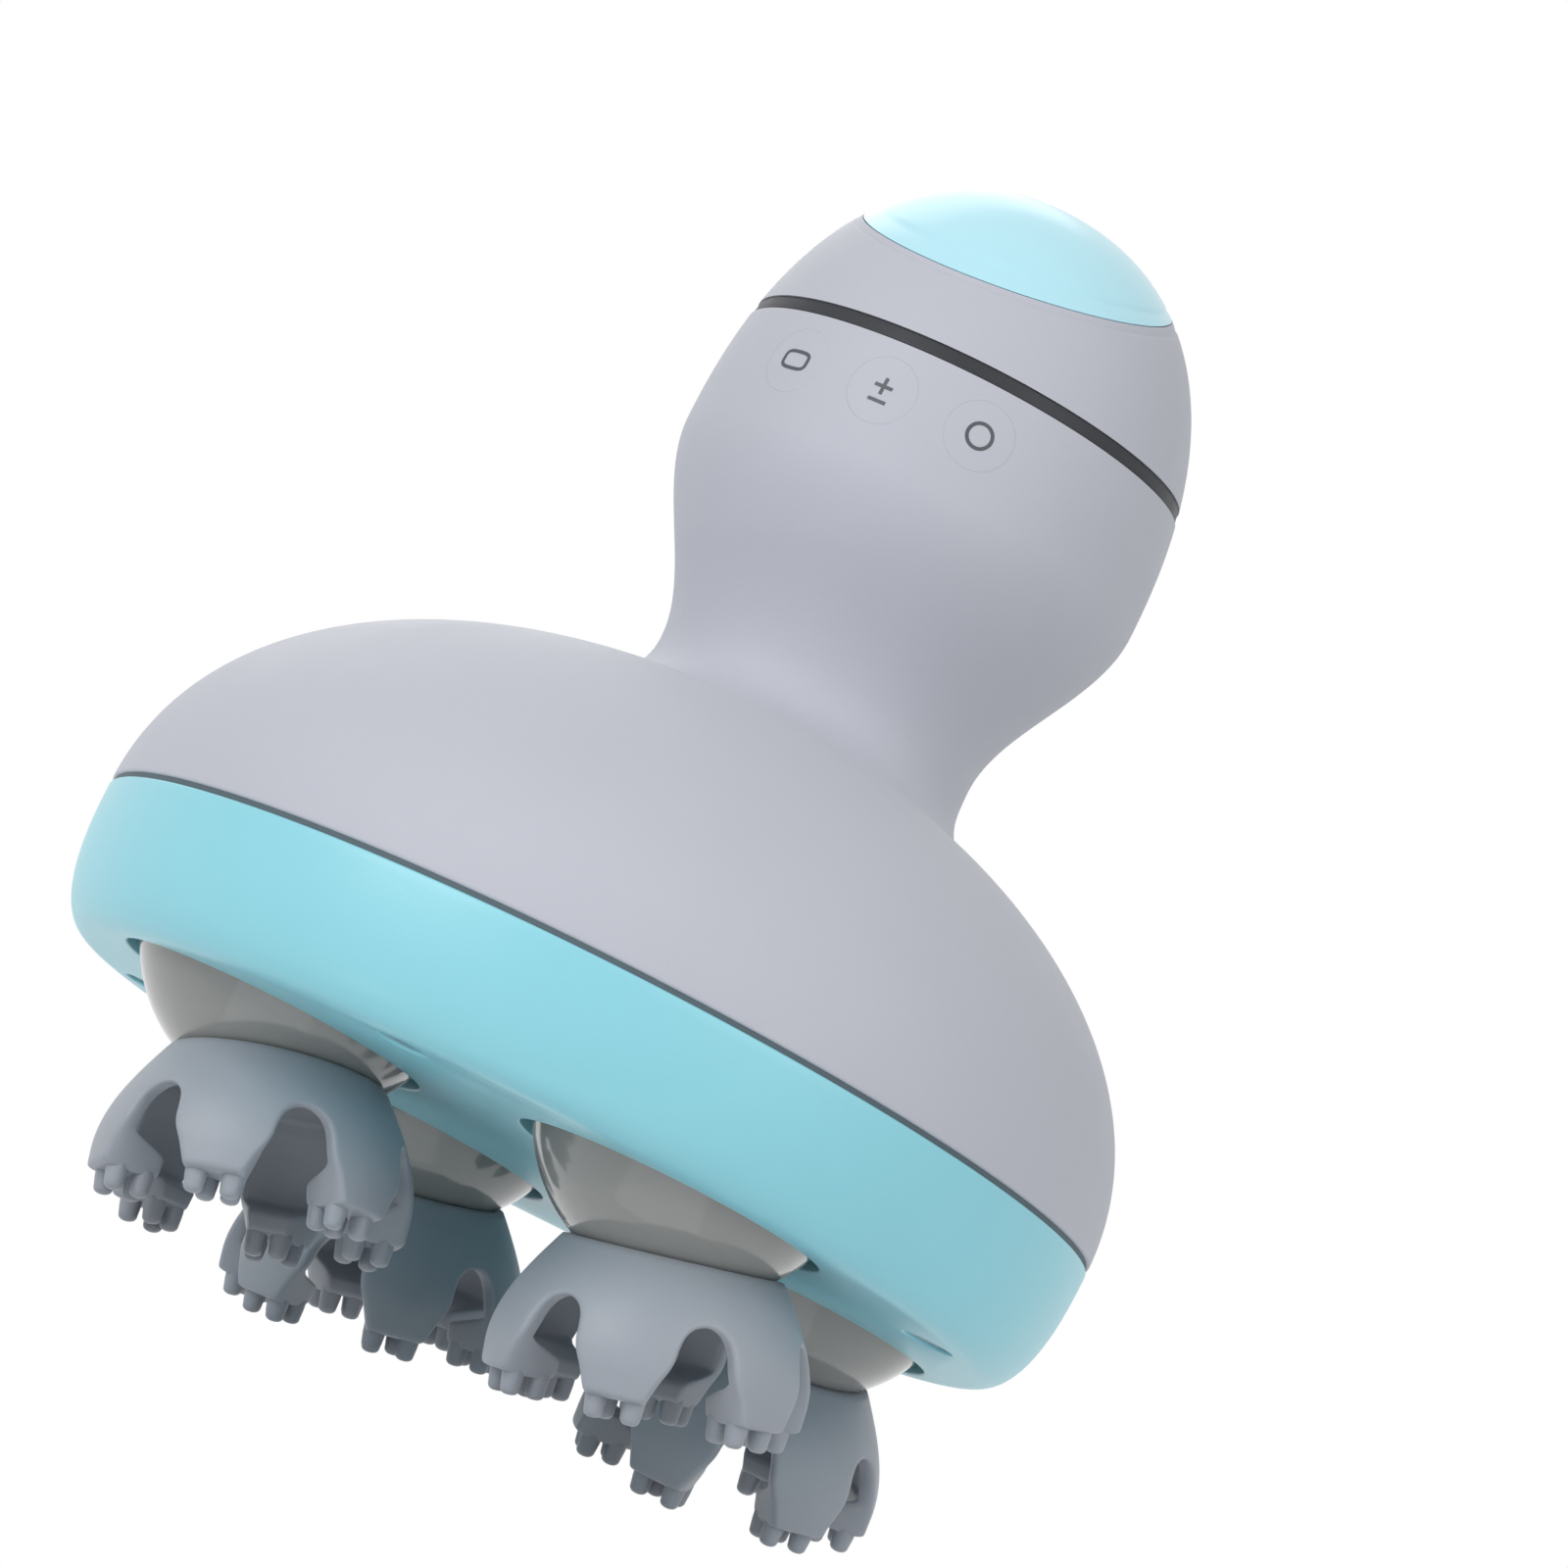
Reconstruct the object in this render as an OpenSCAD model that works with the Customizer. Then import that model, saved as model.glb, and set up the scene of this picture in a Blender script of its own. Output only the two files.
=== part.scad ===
// Electric scalp massager: a mushroom-shaped hand unit with a gear train in its
// head that turns four bowls, each with a tilted six-legged silicone claw.
// Frame: +Z up along the head's axis, -Y the side with the buttons, and the
// origin on the surface that the lowest claw tips stand on. Millimetres.

/* [Head] */
// Radius of the head at its seam
head_r = 60; // [59.5:0.5:64]
// Height of the dome above the seam
dome_h = 39; // [37:0.5:43]
// Squareness of the dome's outline, where 2 is an ellipse
dome_power = 2.08; // [2:0.02:2.3]
// Depth of the base below the seam
base_h = 16.2; // [15.8:0.2:17.4]
// Inward slope of the base's side over its depth
base_taper = 1.4; // [0.6:0.1:2]
// Radius of the base's lower corner
base_corner_r = 5; // [3:0.5:6]
// Wall thickness of the body and base shells
wall = 2.2; // [1.8:0.1:2.6]
// Thickness of the seal that shows at the seam
seal_t = 0.6; // [0.4:0.1:1]
// Height of the base's tongue above the seam
tongue_h = 2; // [1.5:0.5:3]
// Thickness of the base's tongue
tongue_t = 1.3; // [1:0.05:1.4]
// Radial clearance around the tongue
tongue_gap = 0.2; // [0.1:0.05:0.4]

/* [Handle] */
// Radius of the neck at its narrowest
neck_r = 19.4; // [18:0.2:21]
// Height of the narrowest neck above the seam
neck_z = 45; // [43.5:0.5:47]
// Height above the seam where the neck's flare ends in its foot
foot_z = 29; // [28:0.5:31]
// Growth of the neck's radius in the flare
flare = 5; // [4:0.2:6]
// Radius of the handle's bulge
bulge_r = 28; // [27:0.5:30]
// Height of the bulge above the seam
bulge_z = 69; // [68:0.5:71]
// Height of the handle's top above the seam
apex_z = 109; // [107:0.5:112]
// Squareness of the handle's top, where 2 is an ellipse
cap_power = 2.3; // [2.1:0.05:2.5]
// Height of the trim ring's lower edge above the seam
ring_z = 82.4; // [81.5:0.2:84]
// Width of the trim ring
ring_w = 1.8; // [1:0.1:3]
// Wall thickness of the top cap
cap_wall = 2.8; // [2.4:0.1:3.2]
// Depth of the top cap's spigot below the handle's surface
spigot_inset = 2.4; // [2.2:0.1:3]
// Thickness of the spigot
spigot_t = 1.8; // [1.2:0.1:2.4]
// Depth of the spigot below the trim ring
spigot_h = 4; // [2:0.5:5]
// Thickness of the inlay in the top cap
inlay_t = 1.3; // [0.8:0.1:1.5]
// Slope of the inlay's edge, which dips towards the buttons
inlay_tilt = 22.3; // [18:0.5:26]
// Height of the inlay's edge above the seam, on the handle's axis
inlay_z = 102.8; // [101.5:0.2:104]
// Clearance around the inlay
inlay_gap = 0.08; // [0.05:0.01:0.15]

/* [Claws] */
// Radius of each bowl as a share of the head's
ball_share = 0.305; // [0.3:0.001:0.31]
// Depth of the bowls' centres below the seam
ball_drop = 7.5; // [7:0.1:7.8]
// Wall thickness of the bowls
ball_wall = 1.8; // [1.4:0.1:2.2]
// Height of each bowl's skirt above its centre
skirt_h = 1.5; // [1:0.1:2]
// How much smaller the openings in the base are than the bowls' radius
opening_step = 0.6; // [0.4:0.05:0.7]
// Lean of each claw's axis from upright
claw_tilt = 15; // [10:0.5:17]
// Direction of the lean of the four claws: front right, back right, back left, front left
claw_phase = [45, 90, 65, -5]; // [-10:5:95]
// Turn of the legs of the four claws, each about its claw's axis
leg_turn = [6, 4, 0, 20]; // [0:1:60]
// Depth of the flat seat for the claw, cut into the bowl
seat_cut = 3.8; // [3.5:0.1:4.2]
// Radius of the claw's crown on its seat
crown_r = 12; // [11.8:0.1:12.6]
// Largest radius of the claw
claw_r = 17.6; // [17:0.1:17.7]
// Length of the claw from its seat to the ends of its legs
claw_h = 15.6; // [14.8:0.1:15.7]
// Length over which the claw widens
flare_h = 13; // [11:0.5:14]
// Wall thickness of the claw
claw_wall = 2; // [1.6:0.1:2.4]
// Legs on each claw
legs = 6; // [5:1:7]
// Width of each leg at its foot
leg_w = 7.4; // [6.8:0.1:8]
// Radius of the round tops of the arches between the legs
arch_r = 3; // [2.4:0.1:3.2]
// Distance from the seat to the top of the arches
arch_top = 6.2; // [5.6:0.1:7]
// Height of the thick foot at the end of each leg
leg_foot_h = 3; // [2:0.25:4]
// Inner radius of the feet
leg_foot_r = 10.8; // [10.4:0.1:11.4]
// Radius of the nubs under the feet
nub_r = 1.2; // [1:0.05:1.3]
// Length of the nubs
nub_h = 2.3; // [2:0.1:3]
// Distance of the outer nubs from the claw's largest radius
nub_inset = 2.2; // [2:0.1:2.6]
// Distance between the outer and the inner nubs
nub_pitch = 3.1; // [2.8:0.1:3.4]
// Angle of the outer nubs from the middle of their leg
nub_spread_out = 7.5; // [6.5:0.5:8]
// Angle of the inner nubs from the middle of their leg
nub_spread_in = 6.5; // [6:0.25:7]
// Radius of the claw's plug
plug_r = 4.2; // [3.4:0.1:4.4]
// Length of the claw's plug
plug_h = 3; // [2:0.25:3.25]

/* [Gear train] */
// Module of the output gears and the sun gear as a share of the head's radius
out_share = 0.013333; // [0.0128:0.0001:0.0134]
// Teeth on each output gear
out_teeth = 50; // [49:1:51]
// Teeth on the sun gear
sun_teeth = 38; // [37:1:39]
// Module of the motor's gear pair as a share of the head's radius
in_share = 0.008333; // [0.0075:0.0001:0.0084]
// Teeth on the wheel above the sun gear
wheel_teeth = 52; // [50:1:54]
// Teeth on the motor's pinion
pinion_teeth = 14; // [12:1:16]
// Play between meshing teeth along the pitch circle
backlash = 0.16; // [0.1:0.02:0.24]
// Width of the output gears and the sun gear
gear_w = 5; // [4:0.5:6]
// Width of the wheel
wheel_w = 3.6; // [3:0.2:4.4]
// Radius of the output shafts
shaft_r = 3; // [2.5:0.1:3.2]
// Radius of the sun gear's axle
axle_r = 2.5; // [2:0.1:3]
// Radius of the gears' hubs
hub_r = 5.5; // [5.4:0.1:6.2]
// Outer radius of the bushes
bush_r = 5; // [4.6:0.1:5.2]
// Thickness of the bushes' flanges
bush_flange_t = 0.6; // [0.4:0.1:0.8]
// Radial clearance of turning fits
fit = 0.05; // [0.03:0.01:0.08]
// End play of turning pieces
end_play = 0.3; // [0.2:0.05:0.5]

/* [Gearbox plates] */
// Depth of the gear plate's underside below the seam
plate_drop = 4; // [3.6:0.1:4.4]
// Thickness of the gear plate and of its cover
plate_t = 2.2; // [1.8:0.1:2.6]
// Distance of the gear plate's edge from the head's side
plate_inset = 6; // [5.5:0.25:7]
// How much smaller the gearbox cover's radius is than the gear plate's
cover_step = 1.4; // [0.6:0.2:3]
// Distance of the shell screws from the head's side
shell_screw_inset = 10; // [9.5:0.25:11]
// Distance between a shell screw and the gearbox screw next to it
screw_pitch = 9; // [8.5:0.25:10]
// Radius of the gear plate's posts
post_r = 3.6; // [3:0.1:4]
// Radius of the shells' screw bosses
boss_r = 3.8; // [3.4:0.1:4]
// Shank radius of the shell screws
shell_screw_r = 1.5; // [1.25:0.05:1.6]
// Shank radius of the gearbox and motor screws
cover_screw_r = 1.2; // [1:0.05:1.3]

/* [Motor] */
// Radius of the motor and its gearhead
motor_r = 12; // [10:0.25:12.5]
// Length of the gearhead
gearhead_h = 12; // [10:0.5:14]
// Length of the motor's can
can_h = 30; // [26:0.5:30.5]
// Height of the motor's end cap
end_cap_h = 3; // [2:0.25:3.5]
// Radius of the motor's output shaft
motor_shaft_r = 2; // [1.5:0.1:2.2]
// Distance of the motor screws from the motor's axis
motor_screw_d = 8.5; // [7.5:0.25:9]

/* [Electrics] */
// Height above the seam of the ledge that carries the inner frame
ledge_z = 61.5; // [61:0.25:62.5]
// Thickness of the ledge
ledge_t = 4; // [3:0.25:5]
// Inner radius of the ledge
ledge_r = 18.6; // [18:0.1:19]
// Radius of the inner frame's disc
frame_r = 22.4; // [21.6:0.1:22.8]
// Thickness of the inner frame's walls
frame_t = 2; // [1.6:0.1:2.4]
// Distance of the frame screws from the handle's axis
frame_screw_d = 20.4; // [20:0.1:20.8]
// Width of the battery
battery_w = 30; // [26:0.5:31]
// Thickness of the battery
battery_t = 9; // [7:0.25:10]
// Height of the battery
battery_h = 28; // [24:0.5:29]
// Width of the circuit board
board_w = 28; // [24:0.5:29]
// Height of the circuit board
board_h = 26; // [22:0.5:27]
// Thickness of the circuit board
board_t = 1.6; // [1:0.1:2]
// Distance of the board's front face from the handle's axis
board_y = 9; // [8:0.25:10]

/* [Buttons] */
// Distance of the buttons' centres below the trim ring
button_drop = 6; // [5.4:0.1:7]
// Angle between neighbouring buttons
button_pitch = 25; // [22:0.5:28]
// Radius of the buttons
button_r = 3.9; // [3.2:0.1:4.1]
// Hairline gap around the buttons
button_gap = 0.15; // [0.1:0.01:0.25]
// Travel of the buttons
button_travel = 0.4; // [0.3:0.05:0.6]
// Width of the tact switches
switch_w = 6; // [5:0.1:6.2]
// Distance of the switches' seats from the handle's axis
switch_d = 18.3; // [18:0.1:18.4]
// Height of a switch's body
switch_h = 3.3; // [3:0.05:3.4]

/* [Charging contacts] */
// Height of the charging disc's centre above the seam
charge_z = 69.4; // [69:0.1:70.4]
// Radius of the charging disc
charge_r = 6; // [5:0.1:6.4]
// Distance of the charging disc's flat face from the handle's axis
charge_face = 26.3; // [25.6:0.1:26.5]
// Radius of the charging contacts
contact_r = 1.2; // [0.8:0.05:1.5]

/* [Hidden] */
PODS = ["front_right", "back_right", "back_left", "front_left"];
BUTTONS = ["mode", "level", "power"];
$fn = 96;

// Colours
grey = [0.72, 0.72, 0.76];
blue = [0.57, 0.83, 0.89];
ice = [0.75, 0.93, 0.98];
charcoal = [0.28, 0.29, 0.31];
pod_grey = [0.53, 0.52, 0.51];
silicone = [0.64, 0.65, 0.69];
steel = [0.75, 0.76, 0.78];
bronze = [0.80, 0.65, 0.35];
natural = [0.92, 0.92, 0.90];
board_green = [0.10, 0.38, 0.25];

// Steps in each curved outline, and the reach of a cut past the faces that it opens
steps = 20;
reach = 200;
// Overlap of a feature with the solid that it grows from, and of the handle with the dome
weld = 0.5;
foot_sink = 8;
// Radial clearance of pressed and screwed fits
press = 0.02;
hole_gap = 0.1;

// Plan of the gear train: the sun gear turns on the head's axis, the pinion on the handle's
out_module = head_r * out_share;
in_module = head_r * in_share;
pod_d = out_module * (out_teeth + sun_teeth) / 2;
handle_y = in_module * (wheel_teeth + pinion_teeth) / 2;
pod_angles = [-45, 45, 135, 225];
cross_angles = [0, 90, 180, 270];
pressure = 20;
addendum = 0.9;
dedendum = 1.2;

// Bowls, plates and rings of screws follow the head's radius
ball_r = head_r * ball_share;
opening_r = ball_r - opening_step;
seat_d = ball_r - seat_cut;
plate_r = head_r - plate_inset;
cover_r = plate_r - cover_step;
shell_screw_d = head_r - shell_screw_inset;
cover_screw_d = shell_screw_d - screw_pitch;

// Levels of the gearbox, measured from the seam
plate_top = -plate_drop + plate_t;
gear_z = plate_top + bush_flange_t + end_play;
wheel_lift = 0.6;
wheel_z = gear_z + gear_w + wheel_lift;
screw_head_h = 1.4;
head_room = 0.8;
cover_z = wheel_z + wheel_w + screw_head_h + head_room;
cover_top = cover_z + plate_t;
hub_top = cover_z - bush_flange_t - end_play;
bush_flange_r = bush_r + 1.2;
tongue_root = 3.2;
seal_lip = 2.6;
seal_inset = 0.2;
lip_t = 1.4;

// Screws and the motor's seat
shell_head_r = 2.8;
shell_head_h = 2;
shell_screw_bite = 8;
head_recess = 0.4;
cover_head_r = 2.2;
cover_screw_bite = 7;
motor_screw_bite = 4;
small_screw_r = 0.95;
small_head_r = 1.7;
small_head_h = 1.1;
small_screw_bite = 3;
pilot_r = motor_shaft_r + 2;
pilot_drop = plate_t - 0.4;
shaft_in_head = 6;

// Top cap's spigot
rim_z = ring_z + ring_w;
spigot_r = handle_radius(rim_z, spigot_inset);
spigot_root = 3;

// Levels of the motor and of the pieces in the handle
gearhead_top = cover_top + gearhead_h;
can_top = gearhead_top + can_h;
end_cap_top = can_top + end_cap_h;
terminal_h = 2;
terminal_w = 2.4;
terminal_t = 0.8;
lead_x = 5;
lead_r = 0.8;
lead_slot = 4;
rib_inset = 6;
frame_top = ledge_z + frame_t;
battery_gap = 0.3;
battery_top = frame_top + battery_gap + battery_h;
board_z = battery_top - board_h;
board_mid_y = -board_y + board_t / 2;
battery_y = frame_t / 2 + battery_gap;
standoff_inset = 3;
standoff_r = 1.8;
// Chips on the board: place across, height above the board's lower edge, width, thickness, height
chips = [[0, 15, 7, 1.2, 7], [-8, 8, 4, 2.5, 6], [8, 7, 3, 2, 5]];
standoffs = [for (x = [-1, 1], z = [standoff_inset, board_h - standoff_inset])
    [x * (board_w / 2 - standoff_inset), board_z + z]];

// Distances of the buttons' faces from the handle's axis
button_z = ring_z - button_drop;
carrier_w = 8.4;
carrier_margin = 1.5;
plunger_r = 1.7;
plunger_h = 0.95;
plunger_tip = switch_d + switch_h + plunger_h;
stem_r = 1.8;
stem_gap = 0.05;
stem_end = plunger_tip + button_travel + stem_gap;
flange_face = 24.4;
flange_t = 0.8;
flange_lip = 0.7;
button_turns = [-button_pitch, 0, button_pitch];
// Bay in the top cap's spigot for the buttons' flanges
bay_w = 36;
bay_d = 20;

// Charging disc
disc_flange_face = 23.6;
disc_flange_t = 1;
disc_lip = 1;
contact_pitch = 5;

// Levels of a claw, measured from its bowl's centre along the claw's axis
crown_t = 2.2;
seat_t = 2.2;
leg_end = seat_d + claw_h;
tip_d = leg_end + nub_h;
tip_r = 0.8;
tip_taper = 0.8;
nub_rings = [
    [claw_r - nub_inset, nub_spread_out],
    [claw_r - nub_inset - nub_pitch, nub_spread_in]
];
nub_places = [for (leg = [0 : legs - 1], ring = nub_rings, side = [-1, 1])
    [ring[0], leg * 360 / legs + side * ring[1]]];
plug_gap = 0.05;

// Arches: a wedge widens from arch_mid down to the feet, and its inner edge leans by arch_lean.
// It starts a little narrower than the round top, so that the two cross cleanly.
arch_mid = arch_top + arch_r;
arch_half = 180 / legs - asin(leg_w / 2 / claw_r);
arch_step = 0.25;
arch_lean = atan(
    (bell_radius(arch_mid) - (arch_r - arch_step) / tan(arch_half)) / (claw_h - arch_mid)
);

// Bowl hub and output shaft
pod_hub_r = 6.4;
pod_hub_top = ball_drop - plate_drop - end_play;
shaft_in_pod = 11;

// The deepest nub tip sets the height of the seam above the surface
nub_reach = max([for (turn = leg_turn, place = nub_places) place[0] * cos(turn + place[1])]) + tip_r;
seam_z = ball_drop + tip_d * cos(claw_tilt) + nub_reach * sin(claw_tilt);

// Quarter of a superellipse from its widest point, at part t of the way up
function quarter(radius, height, power, t) =
    [radius * pow(cos(90 * t), 2 / power), height * pow(sin(90 * t), 2 / power)];

// Outline of the dome, inset by d
function dome_outline(d, bottom) = concat(
    [[0, bottom], [head_r - d, bottom]],
    [for (i = [0 : steps]) quarter(head_r - d, dome_h - d, dome_power, i / steps)]
);

// Outline of the base, inset by d, up to the height top
function base_outline(d, top) =
    let (x = head_r - base_taper - base_corner_r, r = base_corner_r - d, n = 6)
    concat(
        [[0, -base_h + d]],
        [for (i = [0 : n]) let (a = -90 + 90 * i / n)
            [x + r * cos(a), -base_h + base_corner_r + r * sin(a)]],
        [[head_r - d, -seal_t / 2], [head_r - d, top], [0, top]]
    );

// Radius of the handle at the height z, inset by d: a foot, a flare, a bulge and a round top
function handle_radius(z, d) =
    z < foot_z ? neck_r + flare - d
    : z < neck_z ? neck_r + flare * pow((neck_z - z) / (neck_z - foot_z), 2.2) - d
    : z < bulge_z ? let (t = (z - neck_z) / (bulge_z - neck_z))
        neck_r + (bulge_r - neck_r) * t * t * (3 - 2 * t) - d
    : let (t = min(1, (z - bulge_z) / (apex_z - d - bulge_z)))
        (bulge_r - d) * pow(1 - pow(t, cap_power), 1 / cap_power);

// Outline of the handle from z0 up to z1 or to its top, inset by d
function handle_outline(d, z0, z1) =
    let (
        top = apex_z - d,
        lower = [for (z = [foot_z : 2 : bulge_z - 0.5]) z],
        upper = [for (i = [0 : steps]) bulge_z + (top - bulge_z) * pow(sin(90 * i / steps), 2 / cap_power)],
        levels = concat([z0], [for (z = concat(lower, upper)) if (z > z0 + 0.1 && z < z1 - 0.1) z])
    )
    concat(
        [[0, z0]],
        [for (z = levels) [handle_radius(z, d), z]],
        z1 < top ? [[handle_radius(z1, d), z1], [0, z1]] : []
    );

// Radius of the claw's outside, s along its axis from the seat
function bell_radius(s) =
    crown_r + (claw_r - crown_r) * sin(90 * min(1, s / flare_h));

// Outline of the claw's bell with the thick ring that the feet are cut from
function bell_outline() =
    let (foot_top = leg_end - leg_foot_h, n = 10)
    concat(
        [[0, seat_d]],
        [for (i = [0 : n]) let (s = flare_h * i / n) [bell_radius(s), seat_d + s]],
        [[claw_r, leg_end], [leg_foot_r, leg_end], [leg_foot_r, foot_top]],
        [for (i = [n : -1 : 0])
            let (s = crown_t + (leg_end - leg_foot_h - seat_d - crown_t) * i / n)
            [bell_radius(s) - claw_wall, seat_d + s]],
        [[0, seat_d + crown_t]]
    );

// Angle of a tooth's flank from its centre line at the radius r
function involute(a) = tan(a) * 180 / PI - a;
function half_tooth(r, pitch_r, base_r, teeth) =
    90 / teeth - backlash / 4 / pitch_r * 180 / PI + involute(pressure) - involute(acos(base_r / r));

// Outline of an involute gear with a tooth on its x axis
function gear_outline(module_size, teeth) =
    let (
        pitch_r = module_size * teeth / 2,
        base_r = pitch_r * cos(pressure),
        root_r = pitch_r - dedendum * module_size,
        start_r = max(base_r, root_r),
        tip_circle = pitch_r + addendum * module_size,
        rise = [start_r, pitch_r, tip_circle],
        deep = root_r < base_r - module_size / 4,
        flank = [for (r = rise) [r, half_tooth(r, pitch_r, base_r, teeth)]],
        side = deep ? concat([[root_r, flank[0][1]]], flank) : flank,
        n = len(side)
    )
    [for (tooth = [0 : teeth - 1], i = [0 : 2 * n - 1])
        let (
            point = i < n ? side[i] : side[2 * n - 1 - i],
            a = tooth * 360 / teeth + (i < n ? -point[1] : point[1])
        )
        point[0] * [cos(a), sin(a)]];

// Turn of a gear so that it meshes with a gear that has a tooth on its own x axis
function mesh_turn(direction, teeth, own_teeth) =
    direction + 180 + (teeth * direction - 180) / own_teeth;

// Places: from the seam, from the handle's axis at the seam, and from a bowl's centre
module at_seam() {
    translate([0, 0, seam_z]) children();
}

module at_handle() {
    translate([0, handle_y, seam_z]) children();
}

module at_pod(i) {
    at_seam() rotate([0, 0, pod_angles[i]]) translate([pod_d, 0, 0]) rotate([0, 0, -pod_angles[i]])
        children();
}

module at_each_pod() {
    for (i = [0 : 3]) at_pod(i) children();
}

module at_cross(distance) {
    at_seam() for (a = cross_angles) rotate([0, 0, a]) translate([distance, 0, 0]) children();
}

module tilt_claw(i) {
    rotate([0, 0, claw_phase[i]]) rotate([0, 180 - claw_tilt, 0]) children();
}

module at_ball(i) {
    at_pod(i) translate([0, 0, -ball_drop]) children();
}

// A point on the handle's side: z outwards at the turn a from the front
module on_handle(a, z) {
    at_handle() rotate([0, 0, a]) translate([0, 0, z]) rotate([90, 0, 0]) children();
}

// Basic solids
module disc(r, z0, z1) {
    translate([0, 0, z0]) cylinder(r = r, h = z1 - z0);
}

module tube(r_out, r_in, z0, z1) {
    difference() {
        disc(r_out, z0, z1);
        disc(r_in, z0 - 1, z1 + 1);
    }
}

module block(w, d, z0, z1) {
    translate([-w / 2, -d / 2, z0]) cube([w, d, z1 - z0]);
}

module dome_solid(d, bottom) {
    rotate_extrude() polygon(dome_outline(d, bottom));
}

module base_solid(d, top) {
    rotate_extrude() polygon(base_outline(d, top));
}

module handle_solid(d, z0, z1) {
    rotate_extrude() polygon(handle_outline(d, z0, z1));
}

module above_inlay_edge(gap) {
    translate([0, 0, inlay_z + gap]) rotate([inlay_tilt, 0, 0]) block(reach, reach, 0, reach);
}

// The screw's head lies below z = 0 and its shank points up
module screw(head_r, head_h, shank_r, shank_h) {
    disc(head_r, -head_h, 0);
    disc(shank_r, -weld, shank_h);
}

// Casing
module shell_bosses() {
    intersection() {
        at_cross(shell_screw_d) disc(boss_r, plate_top, dome_h);
        at_seam() dome_solid(wall / 2, plate_top);
    }
}

module frame_ledge() {
    at_handle() difference() {
        handle_solid(wall / 2, ledge_z - ledge_t, ledge_z);
        disc(ledge_r, ledge_z - ledge_t - 1, ledge_z + 1);
    }
}

module frame_screw_places() {
    at_handle() for (side = [-1, 1]) translate([side * frame_screw_d, 0, 0]) children();
}

module body_shell() {
    color(grey) difference() {
        union() {
            difference() {
                union() {
                    at_seam() dome_solid(0, seal_t / 2);
                    at_handle() handle_solid(0, foot_z - foot_sink, ring_z);
                }
                at_seam() dome_solid(wall, -weld);
                at_handle() handle_solid(wall, foot_z - foot_sink - wall, ring_z + 1);
            }
            shell_bosses();
            frame_ledge();
        }
        at_cross(shell_screw_d)
            disc(shell_screw_r + press, plate_top - 1, plate_top + shell_screw_bite + 1);
        frame_screw_places() disc(small_screw_r + press, ledge_z - small_screw_bite, ledge_z + 1);
        for (a = button_turns)
            on_handle(a, button_z) disc(button_r + button_gap, flange_face - 3, reach);
        on_handle(180, charge_z) disc(charge_r + hole_gap, disc_flange_face - 2, reach);
    }
}

module trim_ring() {
    color(charcoal) at_handle() difference() {
        handle_solid(0.15, ring_z, ring_z + ring_w);
        disc(spigot_r + hole_gap, ring_z - 1, ring_z + ring_w + 1);
    }
}

module top_cap() {
    color(grey) at_handle() difference() {
        union() {
            difference() {
                handle_solid(0, rim_z, reach);
                handle_solid(cap_wall, rim_z - 1, reach);
            }
            tube(spigot_r, spigot_r - spigot_t, ring_z - spigot_h, rim_z + spigot_root);
        }
        difference() {
            above_inlay_edge(0);
            handle_solid(inlay_t + inlay_gap, bulge_z, reach);
        }
        translate([0, -spigot_r, 0]) block(bay_w, bay_d, ring_z - spigot_h - 1, ring_z);
    }
}

module cap_inlay() {
    color(ice) at_handle() intersection() {
        difference() {
            handle_solid(0, bulge_z, reach);
            handle_solid(inlay_t, bulge_z - 1, reach);
        }
        above_inlay_edge(inlay_gap);
    }
}

module base_shell() {
    tongue_out = head_r - wall - tongue_gap;
    color(blue) difference() {
        union() {
            at_seam() difference() {
                base_solid(0, -seal_t / 2);
                base_solid(wall, seal_t);
            }
            at_seam() tube(tongue_out, tongue_out - tongue_t, -tongue_root, tongue_h);
            at_seam() tube(tongue_out + weld, tongue_out - tongue_t, -tongue_root, -seal_t / 2);
            at_cross(shell_screw_d) disc(boss_r, -base_h + wall / 2, -plate_drop);
        }
        at_each_pod() disc(opening_r, -base_h - 1, -base_h + wall + 1);
        at_cross(shell_screw_d) disc(shell_screw_r + hole_gap, -base_h - 1, 1);
        at_cross(shell_screw_d)
            disc(shell_head_r + hole_gap, -base_h - 1, -base_h + shell_head_h + head_recess);
    }
}

module shell_seal() {
    color(charcoal) at_seam() tube(head_r - 0.3, head_r - wall, -seal_t / 2, seal_t / 2);
}

module pod_seals() {
    color(charcoal) intersection() {
        at_each_pod()
            tube(opening_r + seal_lip, opening_r + seal_inset, -base_h + wall, -base_h + wall + lip_t);
        at_seam() base_solid(wall + fit, 0);
    }
}

// Gearbox plates
module gear_plate() {
    color(natural) difference() {
        union() {
            at_seam() disc(plate_r, -plate_drop, plate_top);
            at_cross(cover_screw_d) disc(post_r, plate_top - weld, cover_z);
        }
        at_each_pod() disc(bush_r + press, -plate_drop - 1, plate_top + 1);
        at_seam() disc(axle_r + press, -plate_drop - 1, plate_top + 1);
        at_cross(shell_screw_d) disc(shell_screw_r + hole_gap, -plate_drop - 1, plate_top + 1);
        at_cross(cover_screw_d)
            disc(cover_screw_r + press, cover_z - cover_screw_bite - 1, cover_z + 1);
    }
}

module gearbox_cover() {
    color(natural) difference() {
        at_seam() disc(cover_r, cover_z, cover_top);
        at_each_pod() disc(bush_r + press, cover_z - 1, cover_top + 1);
        at_seam() disc(axle_r + press, cover_z - 1, cover_top + 1);
        at_handle() disc(pilot_r + hole_gap, cover_z - 1, cover_top + 1);
        at_cross(cover_screw_d) disc(cover_screw_r + hole_gap, cover_z - 1, cover_top + 1);
        motor_screw_places() disc(cover_screw_r + hole_gap, cover_z - 1, cover_top + 1);
        at_cross(shell_screw_d) disc(boss_r + 0.6, cover_z - 1, cover_top + 1);
    }
}

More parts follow.
